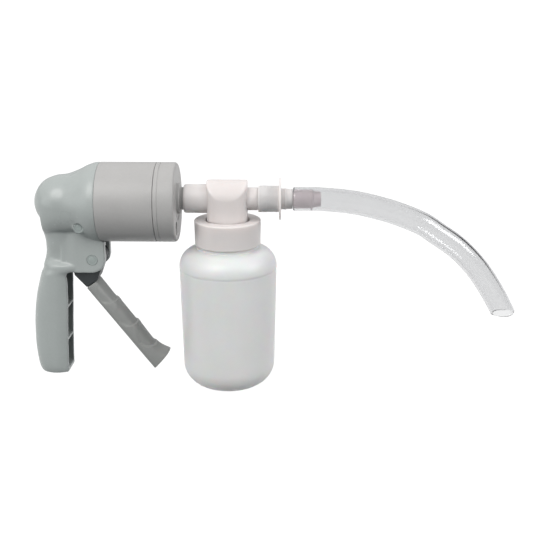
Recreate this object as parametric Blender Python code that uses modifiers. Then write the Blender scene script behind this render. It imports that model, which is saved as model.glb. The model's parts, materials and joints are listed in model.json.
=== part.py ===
"""Hand-operated suction pump with a collection bottle and a wide-bore suction catheter.

A pistol-grip housing carries a round pump barrel. Squeezing the trigger swings its upper arm, which
drives a piston along the barrel, and a coil spring drives it back. A tee adapter on the barrel's front
taper holds the bottle below and the catheter in front. Metres, +Z up, +X towards the catheter; the
origin is on the bottle's axis, in the plane of its base.
"""

import math

import bmesh
import bpy
from mathutils import Vector

MM = 0.001
GAP = 0.3 * MM                     # between pieces that touch on the real pump

# Axes
PUMP_Z = 129.7 * MM                # barrel, piston and front cap
PORT_Z = 132.2 * MM                # inlet taper, tee arms and catheter, above the barrel's centre
PIVOT_X = -90.8 * MM               # trigger pivot, along Y
PIVOT_Z = 92.1 * MM
TRIGGER_LEAN = math.radians(36.85)  # the trigger's own down direction, forward of vertical
ARM_SWING = math.radians(20.0)     # the upper arm leans this far back at rest, and forward when squeezed

# Pump barrel, along X
BARREL_R = 26.7 * MM
BARREL_WALL = 2.0 * MM
REAR_SEAM_X = -84.7 * MM
FRONT_SEAM_X = -46.7 * MM
CAP_FACE_X = -33.3 * MM
CAP_INSIDE_X = -39.0 * MM
LINER_BORE_R = 22.6 * MM
LINER_R = 24.3 * MM
LINER_REAR_X = -86.5 * MM
LINER_FRONT_X = -41.3 * MM
NOTCH_X = -79.0 * MM               # the arm's slot in the barrel ends here
ARM_SLOT_HALF = 5.0 * MM

# Housing, grip and cheeks
WALL = 2.5 * MM
CHEEK_HALF = 12.0 * MM
CHEEK_FRONT_X = -82.3 * MM
CHEEK_BOTTOM_Z = 83.0 * MM
CHEEK_CORNER_R = 9.0 * MM
GRIP_BOTTOM_Z = 8.5 * MM
GRIP_FLOOR = 3.0 * MM
RIB_HEIGHTS = (33.0 * MM, 57.0 * MM)
RIB_THICK = 1.4 * MM
POCKET_TOP_Z = 101.0 * MM
SCREW_X = -96.7 * MM
SCREW_Z = 116.0 * MM
SCREW_SEAT_Y = 17.7 * MM
BUTTON_R = 3.6 * MM                # screw heads and pin heads that show on the housing

# Piston and rod
PISTON_REAR_X = -85.0 * MM
PISTON_FRONT_X = -74.0 * MM
PISTON_R = 22.2 * MM
PISTON_FLOOR_X = -82.8 * MM
CROSS_PIN_R = 2.4 * MM
ROD_R = 5.5 * MM
SPRING_R = 12.4 * MM
SPRING_WIRE_R = 0.8 * MM
SPRING_TURNS = 6.5
SPRING_REAR_X = -82.5 * MM
SPRING_FRONT_X = -42.9 * MM

# Exhaust vent in the front cap's face, low on one side
VENT_Y = -11.0 * MM
VENT_Z = PUMP_Z - 15.5 * MM
VENT_POCKET_R = 4.6 * MM
VENT_FLOOR_X = -36.9 * MM

# Tee adapter, screw cap and bottle, about Z
TEE_R = 13.6 * MM
TEE_SQUARE = 3.0                   # how square the tee's body is where the arms leave it
TEE_ROOF_R = 13.75 * MM            # round of the roof, a little wider than the body
TEE_ROOF_Z = PORT_Z - 1.75 * MM
ARM_REAR_X = -29.0 * MM
ARM_R = 9.65 * MM
FLOAT_X = -6.0 * MM
SPOUT_X = 7.2 * MM
BOTTLE_TOP_Z = 109.0 * MM
NECK_R = 19.7 * MM
NECK_BORE_R = 17.2 * MM
BOTTLE_R = 33.3 * MM
BOTTLE_FOOT_R = 31.9 * MM
BASE_ROUND = 16.0 * MM
SHOULDER_Z = 86.0 * MM
SHOULDER_RISE = 12.4 * MM
SHOULDER_TOP_R = 21.0 * MM
BOTTLE_WALL = 1.4 * MM
FLOAT_R = 4.9 * MM
FLOAT_Z = 92.7 * MM
CAGE_FLOOR_Z = 87.0 * MM
CAGE_TOP_Z = 105.6 * MM

# Catheter
TUBE_R = 7.85 * MM
TUBE_WALL = 1.4 * MM
TUBE_ROUTE = [                     # centreline in X and Z, from the connector to the tip
    (44.2, 132.2), (53.0, 132.2), (63.0, 132.1), (85.3, 129.9), (108.6, 124.3), (129.6, 116.3),
    (140.8, 109.3), (155.3, 99.2), (168.2, 86.5), (178.0, 73.3), (186.0, 60.3), (193.2, 46.5),
]
TUBE_STEP = 6.0 * MM
TIP_CENTRE = Vector((189.6 * MM, 0.0, 52.2 * MM))
TIP_FACE = math.radians(4.0)       # the oblique end face is this far from level

COLORS = {
    "housing_grey": ((0.31, 0.36, 0.35, 1.0), 0.42, 0.0),
    "barrel_grey": ((0.42, 0.42, 0.41, 1.0), 0.45, 0.0),
    "trigger_grey": ((0.26, 0.27, 0.26, 1.0), 0.45, 0.0),
    "lever_dark": ((0.05, 0.06, 0.06, 1.0), 0.50, 0.0),
    "white_plastic": ((0.80, 0.77, 0.77, 1.0), 0.38, 0.0),
    "milky_plastic": ((0.72, 0.74, 0.76, 0.7), 0.45, 0.0),
    "clear_tube": ((0.80, 0.82, 0.84, 0.35), 0.12, 0.0),
    "reducer_grey": ((0.52, 0.47, 0.49, 1.0), 0.35, 0.0),
    "silicone": ((0.55, 0.20, 0.12, 1.0), 0.55, 0.0),
    "black_rubber": ((0.02, 0.02, 0.02, 1.0), 0.60, 0.0),
    "steel": ((0.60, 0.60, 0.60, 1.0), 0.28, 1.0),
    "acetal": ((0.70, 0.69, 0.66, 1.0), 0.35, 0.0),
}


# ---------------------------------------------------------------- scene and helpers

def clear_scene():
    for item in list(bpy.data.objects):
        bpy.data.objects.remove(item, do_unlink=True)


def new_collection(name):
    collection = bpy.data.collections.new(name)
    bpy.context.scene.collection.children.link(collection)
    return collection


def make_material(name, color, roughness, metallic):
    material = bpy.data.materials.new(name)
    material.use_nodes = True
    shader = material.node_tree.nodes["Principled BSDF"]
    shader.inputs["Base Color"].default_value = color
    shader.inputs["Roughness"].default_value = roughness
    shader.inputs["Metallic"].default_value = metallic
    shader.inputs["Alpha"].default_value = color[3]
    return material


clear_scene()
PUMP = new_collection("suction_pump")
CUTTERS = new_collection("cutters")
MATERIALS = {name: make_material(name, *look) for name, look in COLORS.items()}


def add_mesh(name, bm, look=None):
    """Links a mesh as a sub-part with a material, or as a hidden cutter when it has no look."""
    mesh = bpy.data.meshes.new(name)
    bm.to_mesh(mesh)
    bm.free()
    return add_object(name, mesh, look)


def add_object(name, data, look=None):
    item = bpy.data.objects.new(name, data)
    if look:
        PUMP.objects.link(item)
        data.materials.append(MATERIALS[look])
    else:
        CUTTERS.objects.link(item)
        item.hide_render = True
        item.display_type = "WIRE"
    return item


def boolean(target, other, operation="DIFFERENCE"):
    modifier = target.modifiers.new(other.name, "BOOLEAN")
    modifier.operation = operation
    modifier.solver = "EXACT"
    modifier.object = other
    return target


def cut(target, *others):
    for other in others:
        boolean(target, other)
    return target


def join(target, *others):
    for other in others:
        boolean(target, other, "UNION")
    return target


def place(item, location=(0.0, 0.0, 0.0), rotation=(0.0, 0.0, 0.0)):
    item.location = location
    item.rotation_euler = rotation
    return item


def turned(name, outline, look=None, axis="Z", at=(0.0, 0.0, 0.0), steps=28):
    """A turned body. The outline is (distance along the axis, radius), and closes on itself or the axis."""
    area = sum(
        a[1] * b[0] - b[1] * a[0] for a, b in zip(outline, outline[1:] + outline[:1])
    )
    points = outline if area < 0 else outline[::-1]
    on_axis = [i for i, point in enumerate(points) if point[1] == 0.0 and points[i - 1][1] == 0.0]
    if on_axis:
        # start and end the profile on the axis
        points = points[on_axis[0]:] + points[:on_axis[0]]
    bm = bmesh.new()
    verts = [bm.verts.new((radius, 0.0, along)) for along, radius in points]
    for a, b in zip(verts, verts[1:]):
        bm.edges.new((a, b))
    if not on_axis:
        bm.edges.new((verts[-1], verts[0]))
    item = add_mesh(name, bm, look)
    screw = item.modifiers.new("turn", "SCREW")
    screw.steps = screw.render_steps = steps
    screw.use_merge_vertices = True
    screw.merge_threshold = 1e-5
    screw.use_smooth_shade = True
    turn = (0.0, math.pi / 2, 0.0) if axis == "X" else (0.0, 0.0, 0.0)
    return place(item, at, turn)


def box(name, low, high, look=None):
    bm = bmesh.new()
    bmesh.ops.create_cube(bm, size=1.0)
    low, high = Vector(low), Vector(high)
    size = high - low
    for vert in bm.verts:
        vert.co = Vector(c * s for c, s in zip(vert.co, size)) + (low + high) / 2
    return add_mesh(name, bm, look)


def cylinder(name, start, end, radius, look=None, end_radius=None, steps=18):
    start, end = Vector(start), Vector(end)
    bm = bmesh.new()
    bmesh.ops.create_cone(
        bm,
        cap_ends=True,
        segments=steps,
        radius1=radius,
        radius2=radius if end_radius is None else end_radius,
        depth=(end - start).length,
    )
    turn = Vector((0, 0, 1)).rotation_difference(end - start).to_matrix()
    for vert in bm.verts:
        vert.co = turn @ vert.co + (start + end) / 2
    return add_mesh(name, bm, look)


def mesh_of_curve(curve, name, look=None):
    """Turns a curve into a welded mesh object, and removes the curve."""
    bpy.context.view_layer.update()
    graph = bpy.context.evaluated_depsgraph_get()
    mesh = bpy.data.meshes.new_from_object(curve.evaluated_get(graph))
    bm = bmesh.new()
    bm.from_mesh(mesh)
    bmesh.ops.transform(bm, matrix=curve.matrix_world, verts=bm.verts)
    bmesh.ops.remove_doubles(bm, verts=bm.verts, dist=1e-6)
    bpy.data.objects.remove(curve, do_unlink=True)
    bpy.data.meshes.remove(mesh)
    return add_mesh(name, bm, look)


def plate(name, outline, half_width, look=None, location=(0.0, 0.0, 0.0), across="Y"):
    """A flat outline given in X and Z and as thick in Y, or in Y and Z and as thick in X."""
    data = bpy.data.curves.new(name, "CURVE")
    data.dimensions = "2D"
    data.fill_mode = "BOTH"
    data.extrude = half_width
    spline = data.splines.new("POLY")
    spline.points.add(len(outline) - 1)
    for point, (a, b) in zip(spline.points, outline):
        point.co = (a, b, 0.0, 1.0)
    spline.use_cyclic_u = True
    curve = add_object(name + "_outline", data)
    turn = math.pi / 2 if across == "X" else 0.0
    place(curve, location, (math.pi / 2, 0.0, turn))
    return mesh_of_curve(curve, name, look)


def loft(name, rings, look=None):
    """A closed body through rings that all have as many points."""
    bm = bmesh.new()
    rows = [[bm.verts.new(point) for point in ring] for ring in rings]
    count = len(rows[0])
    for low, high in zip(rows, rows[1:]):
        for i in range(count):
            j = (i + 1) % count
            bm.faces.new((low[i], low[j], high[j], high[i]))
    bm.faces.new(rows[0][::-1])
    bm.faces.new(rows[-1])
    bmesh.ops.recalc_face_normals(bm, faces=bm.faces)
    return add_mesh(name, bm, look)


def arc(centre, radius, start, end, count):
    """Points on a circle, in degrees from +X towards +Z."""
    angles = [math.radians(start + (end - start) * i / count) for i in range(count + 1)]
    return [(centre[0] + radius * math.cos(a), centre[1] + radius * math.sin(a)) for a in angles]


def between(table, value):
    """Straight-line reading of a table of (key, number, ...) rows."""
    if value <= table[0][0]:
        return table[0][1:]
    for low, high in zip(table, table[1:]):
        if value <= high[0]:
            share = (value - low[0]) / (high[0] - low[0])
            return tuple(a + (b - a) * share for a, b in zip(low[1:], high[1:]))
    return table[-1][1:]


# ---------------------------------------------------------------- housing and grip

DOME = [(-84.85, 26.7), (-88.0, 26.5), (-92.4, 25.1), (-96.4, 23.1), (-100.3, 21.3), (-106.9, 19.0),
        (-113.6, 18.2), (-119.4, 16.3), (-122.9, 14.2), (-125.3, 11.8), (-127.3, 8.8), (-128.8, 5.4)]
DOME_END_X = -129.7 * MM
GRIP = [                           # height, back, front, half width at the front edges, half width inside
    (8.5, -133.4, -112.9, 8.6, 10.6), (12.0, -134.8, -112.8, 9.0, 11.6), (17.2, -135.7, -112.7, 9.2, 12.0),
    (28.6, -136.5, -112.2, 9.3, 12.2), (43.6, -136.1, -111.4, 9.3, 12.2), (53.4, -135.2, -110.7, 9.3, 12.2),
    (65.6, -133.1, -110.0, 9.4, 12.3), (76.5, -130.1, -109.6, 10.2, 12.4), (82.0, -128.3, -109.3, 11.4, 12.6),
    (86.5, -126.8, -102.0, 11.8, 12.6), (91.9, -125.2, -102.0, 11.8, 11.6),
    (99.1, -124.1, -102.0, 11.8, 11.4), (106.0, -124.6, -102.0, 11.6, 11.6),
    (111.8, -126.4, -104.0, 11.4, 11.4), (118.8, -128.4, -106.0, 9.6, 9.8),
]
WIDEST = 0.38                      # share of the grip's depth, from the front, where it is widest
FOLD_Z = 110.8                     # level of the fold between the dome and the neck
FOLD_HALF = 10.4                   # half width of the neck at the fold


def grip_ring(z, inset=0.0, front=None, side_points=6):
    """One level section of the grip: open front edges, bulging sides and a round back."""
    back, edge, half_edge, half_mid = (v * MM for v in between(GRIP, z / MM))
    back += inset
    half_edge -= inset
    half_mid -= inset
    side = []
    if front is not None:
        side.append((front, half_edge))
    for i in range(side_points + 1):
        share = i / (side_points + 1)
        if share < WIDEST:
            half = half_edge + (half_mid - half_edge) * math.sin(math.pi / 2 * share / WIDEST)
        else:
            over = (share - WIDEST) / (1.0 - WIDEST)
            half = half_mid * math.sqrt(max(0.0, 1.0 - over ** 2.3))
        side.append((edge + (back - edge) * share, half))
    ring = [Vector((x, -y, z)) for x, y in side]
    ring.append(Vector((back, 0.0, z)))
    ring += [Vector((x, y, z)) for x, y in reversed(side)]
    return ring


def pocket(name, low, high):
    """Hollow of the grip between two levels, open to the front."""
    levels = [low] + [row[0] * MM for row in GRIP if low < row[0] * MM < high] + [high]
    return loft(name, [grip_ring(z, WALL, front=-70.0 * MM) for z in levels])


def dome_chin():
    """The dome's underside: deeper and squarer than round, so that its fold over the neck runs level."""
    rings = []
    for x in (-123.7, -121.2, -118.1, -114.3, -110.2, -106.1, -102.3, -98.3):
        radius = between(sorted(DOME), x)[0] - 0.15
        power = 2.0 + 0.6 * min(1.0, (-98.0 - x) / 10.0)
        beside_neck = (1.0 - (FOLD_HALF / radius) ** power) ** (1.0 / power)
        depth = min(21.5, max(radius, (PUMP_Z / MM - FOLD_Z) / beside_neck))
        ring = [Vector((x * MM, radius * side * MM, PUMP_Z + 3.1 * MM)) for side in (-0.85, 0.85)]
        for i in range(11):
            angle = math.pi * (i + 0.7) / 11.4
            across = math.copysign(abs(math.cos(angle)) ** (2.0 / power), math.cos(angle))
            down = depth * math.sin(angle) ** (2.0 / power)
            ring.append(Vector((x * MM, radius * across * MM, PUMP_Z - down * MM)))
        rings.append(ring)
    return loft("dome_chin", rings)


def make_housing():
    outer = [(DOME_END_X, 0.0)] + [(x * MM, r * MM) for x, r in reversed(DOME)]
    housing = turned(
        "handle_housing", outer + [(-84.85 * MM, 0.0)], "housing_grey", "X", (0, 0, PUMP_Z), 36
    )
    grip = loft("grip_body", [grip_ring(row[0] * MM) for row in GRIP])
    corner = (CHEEK_FRONT_X - CHEEK_CORNER_R, CHEEK_BOTTOM_Z + CHEEK_CORNER_R)
    cheek_outline = (
        [(-109.0 * MM, CHEEK_BOTTOM_Z)]
        + arc(corner, CHEEK_CORNER_R, -90, 0, 6)
        + [(CHEEK_FRONT_X, 104.4 * MM), (-86.0 * MM, 110.7 * MM), (-109.0 * MM, 110.7 * MM)]
    )
    cheeks = plate("cheek_block", cheek_outline, CHEEK_HALF)
    under_barrel = cylinder(
        "under_barrel", (REAR_SEAM_X - 0.15 * MM, 0, PUMP_Z), (-70 * MM, 0, PUMP_Z),
        BARREL_R + GAP, steps=36,
    )
    cut(cheeks, under_barrel)
    join(housing, grip, cheeks, dome_chin())
    for side in (-1, 1):
        boss = cylinder(
            f"screw_boss_{side}",
            (SCREW_X, side * 11.0 * MM, SCREW_Z),
            (SCREW_X, side * SCREW_SEAT_Y, SCREW_Z),
            BUTTON_R + 0.9 * MM,
        )
        join(housing, boss)
    inner = [(x * MM, (r - 2.3) * MM) for x, r in reversed(DOME[3:])]
    inner = (
        [(DOME_END_X + 2.4 * MM, 0.0)]
        + inner
        + [(-92.4 * MM, 22.8 * MM), (-87.0 * MM, 23.0 * MM), (-87.0 * MM, 24.7 * MM)]
        + [(-80.0 * MM, 24.7 * MM), (-80.0 * MM, 0.0)]
    )
    cut(housing, turned("dome_hollow", inner, axis="X", at=(0, 0, PUMP_Z), steps=28))
    floors = [GRIP_BOTTOM_Z + GRIP_FLOOR] + [z + RIB_THICK / 2 for z in RIB_HEIGHTS]
    ceilings = [z - RIB_THICK / 2 for z in RIB_HEIGHTS] + [POCKET_TOP_Z]
    for i, (low, high) in enumerate(zip(floors, ceilings)):
        cut(housing, pocket(f"grip_pocket_{i}", low, high))
    arm_slot = box(
        "arm_slot", (-105.5 * MM, -ARM_SLOT_HALF, 98 * MM), (-79 * MM, ARM_SLOT_HALF, 117 * MM)
    )
    cut(housing, arm_slot)
    pin_hole = cylinder(
        "pivot_hole", (PIVOT_X, -20 * MM, PIVOT_Z), (PIVOT_X, 20 * MM, PIVOT_Z), 2.6 * MM
    )
    cut(housing, pin_hole)
    for side in (-1, 1):
        seat = cylinder(
            f"pivot_seat_{side}", (PIVOT_X, side * 10.5 * MM, PIVOT_Z),
            (PIVOT_X, side * 16 * MM, PIVOT_Z), BUTTON_R + GAP,
        )
        head = cylinder(
            f"screw_seat_{side}", (SCREW_X, side * SCREW_SEAT_Y, SCREW_Z),
            (SCREW_X, side * 30 * MM, SCREW_Z), BUTTON_R + GAP,
        )
        shank = cylinder(
            f"screw_hole_{side}", (SCREW_X, side * 8 * MM, SCREW_Z),
            (SCREW_X, side * 20 * MM, SCREW_Z), 1.7 * MM,
        )
        cut(housing, seat, head, shank)
    return housing


def make_housing_fasteners():
    for side, word in ((-1, "left"), (1, "right")):
        seat = SCREW_SEAT_Y + GAP
        outline = [(seat + 1.2 * MM, 0.0), (seat + 1.2 * MM, BUTTON_R - 0.4 * MM),
                   (seat + 0.8 * MM, BUTTON_R), (seat, BUTTON_R), (seat, 1.4 * MM),
                   (9.0 * MM, 1.4 * MM), (9.0 * MM, 0.0)]
        screw = turned(f"housing_screw_{word}", outline, "steel", steps=24)
        place(screw, (SCREW_X, 0.0, SCREW_Z), (-side * math.pi / 2, 0.0, 0.0))
    outline = [(11.9 * MM, 0.0), (11.9 * MM, BUTTON_R), (10.8 * MM, BUTTON_R), (10.8 * MM, 2.3 * MM),
               (-10.4 * MM, 2.3 * MM), (-10.4 * MM, 0.0)]
    pin = turned("pivot_pin", outline, "steel", steps=24)
    place(pin, (PIVOT_X, 0.0, PIVOT_Z), (math.pi / 2, 0.0, 0.0))
    cylinder("pivot_pin_cap", (PIVOT_X, 10.8 * MM, PIVOT_Z), (PIVOT_X, 11.9 * MM, PIVOT_Z),
             BUTTON_R, "steel", steps=24)


# ---------------------------------------------------------------- barrel, liner and front cap

def notch(name):
    """Room for the trigger's upper arm at the bottom rear of the barrel."""
    return box(name, (-90 * MM, -ARM_SLOT_HALF, 100 * MM), (NOTCH_X, ARM_SLOT_HALF, 112 * MM))


def make_barrel():
    inner = BARREL_R - BARREL_WALL
    rear, front = REAR_SEAM_X + 0.15 * MM, FRONT_SEAM_X - 0.15 * MM
    edge = 0.35 * MM
    outline = [(front, inner), (front, BARREL_R - edge), (front - edge, BARREL_R),
               (rear + edge, BARREL_R), (rear, BARREL_R - edge), (rear, inner)]
    barrel = turned("barrel", outline, "barrel_grey", "X", (0, 0, PUMP_Z), 36)
    cut(barrel, notch("barrel_notch"))
    outline = [(LINER_FRONT_X, LINER_BORE_R), (LINER_FRONT_X, LINER_R), (LINER_REAR_X, LINER_R),
               (LINER_REAR_X, LINER_BORE_R)]
    liner = turned("cylinder_liner", outline, "acetal", "X", (0, 0, PUMP_Z), 36)
    cut(liner, notch("liner_notch"))
    outline = [(-86.9, 14.5), (-86.9, 22.6), (-91.8, 22.3), (-96.4, 20.4), (-99.8, 18.6), (-99.8, 14.5)]
    ring = turned("cylinder_rear_ring", [(x * MM, r * MM) for x, r in outline], "acetal", "X",
                  (0, 0, PUMP_Z))
    cut(ring, box("ring_notch", (-105 * MM, -6 * MM, 100 * MM), (-80 * MM, 6 * MM, PUMP_Z)))
    for side in (-1, 1):
        hole = cylinder(f"ring_hole_{side}", (SCREW_X, side * 7.5 * MM, SCREW_Z),
                        (SCREW_X, side * 24 * MM, SCREW_Z), 1.7 * MM, steps=16)
        cut(ring, hole)


def make_front_cap():
    face, rear, inside = CAP_FACE_X, FRONT_SEAM_X + 0.15 * MM, CAP_INSIDE_X
    edge = [(face - 2.0 * MM + dx, BARREL_R - 2.0 * MM + dr)
            for dx, dr in arc((0.0, 0.0), 2.0 * MM, 0, 90, 4)]
    skirt = LINER_R + GAP
    outline = [(face, 0.0)] + edge + [(rear + 0.35 * MM, BARREL_R), (rear, BARREL_R - 0.35 * MM),
                                      (rear, skirt), (inside, skirt), (inside, 0.0)]
    cap = turned("front_cap", outline, "barrel_grey", "X", (0, 0, PUMP_Z), 36)
    outline = [(-15.5, 0.0), (-15.5, 6.9), (-16.0, 7.35), (-29.3, 7.55), (-31.3, 7.6), (-31.3, 9.8),
               (-31.7, 10.15), (-36.0, 10.15), (-36.0, 0.0)]
    port = turned("inlet_port", [(x * MM, r * MM) for x, r in outline], axis="X", at=(0, 0, PORT_Z),
                  steps=24)
    bore = cylinder("inlet_bore", (-45 * MM, 0, PORT_Z), (-10 * MM, 0, PORT_Z), 5.0 * MM)
    vent = cylinder("vent_pocket", (VENT_FLOOR_X, VENT_Y, VENT_Z), (-30 * MM, VENT_Y, VENT_Z),
                    VENT_POCKET_R)
    hole = cylinder("vent_hole", (-45 * MM, VENT_Y, VENT_Z), (-34 * MM, VENT_Y, VENT_Z), 2.2 * MM)
    join(cap, port)
    cut(cap, bore, vent, hole)


def make_valves():
    rim = 14.5 * MM
    floor, back = -41.4 * MM, -42.6 * MM
    outline = [(floor, 0.0), (floor, 13.0 * MM), (CAP_INSIDE_X - GAP, 13.0 * MM),
               (CAP_INSIDE_X - GAP, rim), (back, rim), (back, 0.0)]
    keeper = turned("valve_keeper", outline, "acetal", "X", (0, 0, PUMP_Z), 28)
    peg = cylinder("keeper_peg", (-42 * MM, 0, PORT_Z), (-39.6 * MM, 0, PORT_Z), 1.2 * MM, steps=16)
    join(keeper, peg)
    for i in range(6):
        angle = math.radians(60 * i + 17)
        y, z = 8.0 * MM * math.cos(angle), PUMP_Z + 8.0 * MM * math.sin(angle)
        cut(keeper, cylinder(f"keeper_hole_{i}", (-44 * MM, y, z), (-40.8 * MM, y, z), 2.4 * MM, steps=10))
    outline = [(CAP_INSIDE_X - GAP, 1.5 * MM), (CAP_INSIDE_X - GAP, 8.0 * MM),
               (CAP_INSIDE_X - 1.1 * MM, 8.0 * MM), (CAP_INSIDE_X - 1.1 * MM, 1.5 * MM)]
    turned("inlet_valve_disc", outline, "silicone", "X", (0, 0, PORT_Z), 24)
    low = VENT_FLOOR_X + GAP
    cylinder("exhaust_valve_disc", (low, VENT_Y, VENT_Z), (low + 0.8 * MM, VENT_Y, VENT_Z), 3.9 * MM,
             "silicone")
    cover = cylinder("exhaust_cover", (-34.9 * MM, VENT_Y, VENT_Z), (-34.0 * MM, VENT_Y, VENT_Z),
                     VENT_POCKET_R - GAP, "barrel_grey")
    for i in (-1, 0, 1):
        middle = VENT_Z + i * 2.1 * MM
        cut(cover, box(f"cover_slot_{i}", (-36 * MM, VENT_Y - 2.6 * MM, middle - 0.5 * MM),
                       (-33 * MM, VENT_Y + 2.6 * MM, middle + 0.5 * MM)))
    ring = [(-40.15 * MM + dx, 23.45 * MM + dr) for dx, dr in arc((0, 0), 0.8 * MM, 0, 300, 5)]
    turned("front_cap_o_ring", ring, "black_rubber", "X", (0, 0, PUMP_Z))


# ---------------------------------------------------------------- piston, rod and spring

def cross_pin_x():
    """The cross pin's place at rest, where the leaning arm meets the barrel's centre line."""
    return PIVOT_X - (PUMP_Z - PIVOT_Z) * math.tan(ARM_SWING)


def make_piston():
    rear, front, floor = PISTON_REAR_X, PISTON_FRONT_X, PISTON_FLOOR_X
    groove_front, groove_rear = -75.2 * MM, -78.2 * MM
    outline = [(front, 17.5 * MM), (front, PISTON_R), (groove_front, PISTON_R),
               (groove_front, 19.8 * MM), (groove_rear, 19.8 * MM), (groove_rear, PISTON_R),
               (rear, PISTON_R), (rear, 1.9 * MM), (-76.2 * MM, 1.9 * MM), (-76.2 * MM, 6.5 * MM),
               (floor, 6.5 * MM), (floor, 17.5 * MM)]
    turned("piston", outline, "acetal", "X", (0, 0, PUMP_Z), 36)
    outline = [(groove_front - GAP, 20.1 * MM), (groove_front - GAP, 22.35 * MM),
               (groove_rear + GAP, 22.35 * MM), (groove_rear + GAP, 20.1 * MM)]
    turned("piston_seal", outline, "black_rubber", "X", (0, 0, PUMP_Z), 36)
    pin_x = cross_pin_x()
    rod = turned("piston_rod", [(rear - GAP, 0.0), (rear - GAP, ROD_R), (-97 * MM, ROD_R), (-97 * MM, 0.0)],
                 "acetal", "X", (0, 0, PUMP_Z), 20)
    half_height = 6.0 * MM
    head = box("clevis", (pin_x - 5 * MM, -8 * MM, PUMP_Z - half_height),
               (pin_x + 10.5 * MM, 8 * MM, PUMP_Z + half_height))
    slot = box("clevis_slot", (pin_x - 9 * MM, -4.1 * MM, PUMP_Z - 9 * MM),
               (pin_x + 7.8 * MM, 4.1 * MM, PUMP_Z + 9 * MM))
    pin_hole = cylinder("cross_hole", (pin_x, -12 * MM, PUMP_Z), (pin_x, 12 * MM, PUMP_Z),
                        CROSS_PIN_R + GAP)
    screw_hole = cylinder("rod_screw_hole", (-94.4 * MM, 0, PUMP_Z), (-80 * MM, 0, PUMP_Z), 1.9 * MM,
                          steps=16)
    join(rod, head)
    cut(rod, slot, pin_hole, screw_hole)
    cylinder("cross_pin", (pin_x, -7.9 * MM, PUMP_Z), (pin_x, 7.9 * MM, PUMP_Z), CROSS_PIN_R, "steel")
    outline = [(-74.4 * MM, 0.0), (-74.4 * MM, 3.2 * MM), (-75.9 * MM, 3.2 * MM), (-75.9 * MM, 1.6 * MM),
               (-94.0 * MM, 1.6 * MM), (-94.0 * MM, 0.0)]
    turned("rod_screw", outline, "steel", "X", (0, 0, PUMP_Z), 20)


def make_spring():
    """Return spring between the piston's pocket and the valve keeper."""
    start, end = SPRING_REAR_X + SPRING_WIRE_R, SPRING_FRONT_X - SPRING_WIRE_R
    data = bpy.data.curves.new("return_spring", "CURVE")
    data.dimensions = "3D"
    data.bevel_depth = SPRING_WIRE_R
    data.bevel_resolution = 1
    data.use_fill_caps = True
    count = int(SPRING_TURNS * 10)
    spline = data.splines.new("POLY")
    spline.points.add(count)
    for i, point in enumerate(spline.points):
        share = i / count
        angle = 2 * math.pi * SPRING_TURNS * share
        y, z = SPRING_R * math.cos(angle), SPRING_R * math.sin(angle)
        point.co = (start + (end - start) * share, y, PUMP_Z + z, 1.0)
    add_object("return_spring", data, "steel")


# ---------------------------------------------------------------- trigger

def trigger_place(item):
    """Trigger pieces are built hanging straight down from the pivot, then leaned forward."""
    return place(item, (PIVOT_X, 0.0, PIVOT_Z), (0.0, -TRIGGER_LEAN, 0.0))


TRIGGER_BACK = -17.0 * MM
TOE_SLOPE = 0.19                   # the toe's end face falls this much towards the back
TRIGGER_FRONT = [                  # distance below the pivot, front face ahead of the pivot
    (13.5, -8.3), (16.0, -8.5), (24.0, -8.7), (32.2, -8.2), (32.9, -7.5), (43.0, -8.0), (53.8, -7.4),
    (54.5, -6.7), (64.0, -7.2), (72.0, -6.9), (77.0, -6.0), (81.0, -4.0), (84.5, -1.9),
]


def trigger_ring(down, front, slope=0.0, half=9.5 * MM):
    """Section of the trigger's grip: flat back with eased corners and a round front."""
    back = TRIGGER_BACK
    depth = front - back
    points = [(back, 0.80), (back + 0.05 * depth, 0.93), (back + 0.15 * depth, 1.0),
              (back + 0.42 * depth, 1.0), (back + 0.64 * depth, 0.93), (back + 0.83 * depth, 0.75),
              (back + 0.95 * depth, 0.45),
              (front, 0.14)]
    ring = [(x, -half * share) for x, share in points]
    ring += [(x, half * share) for x, share in reversed(points)]
    return [Vector((x, y, -down - slope * (front - x))) for x, y in ring]


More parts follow.
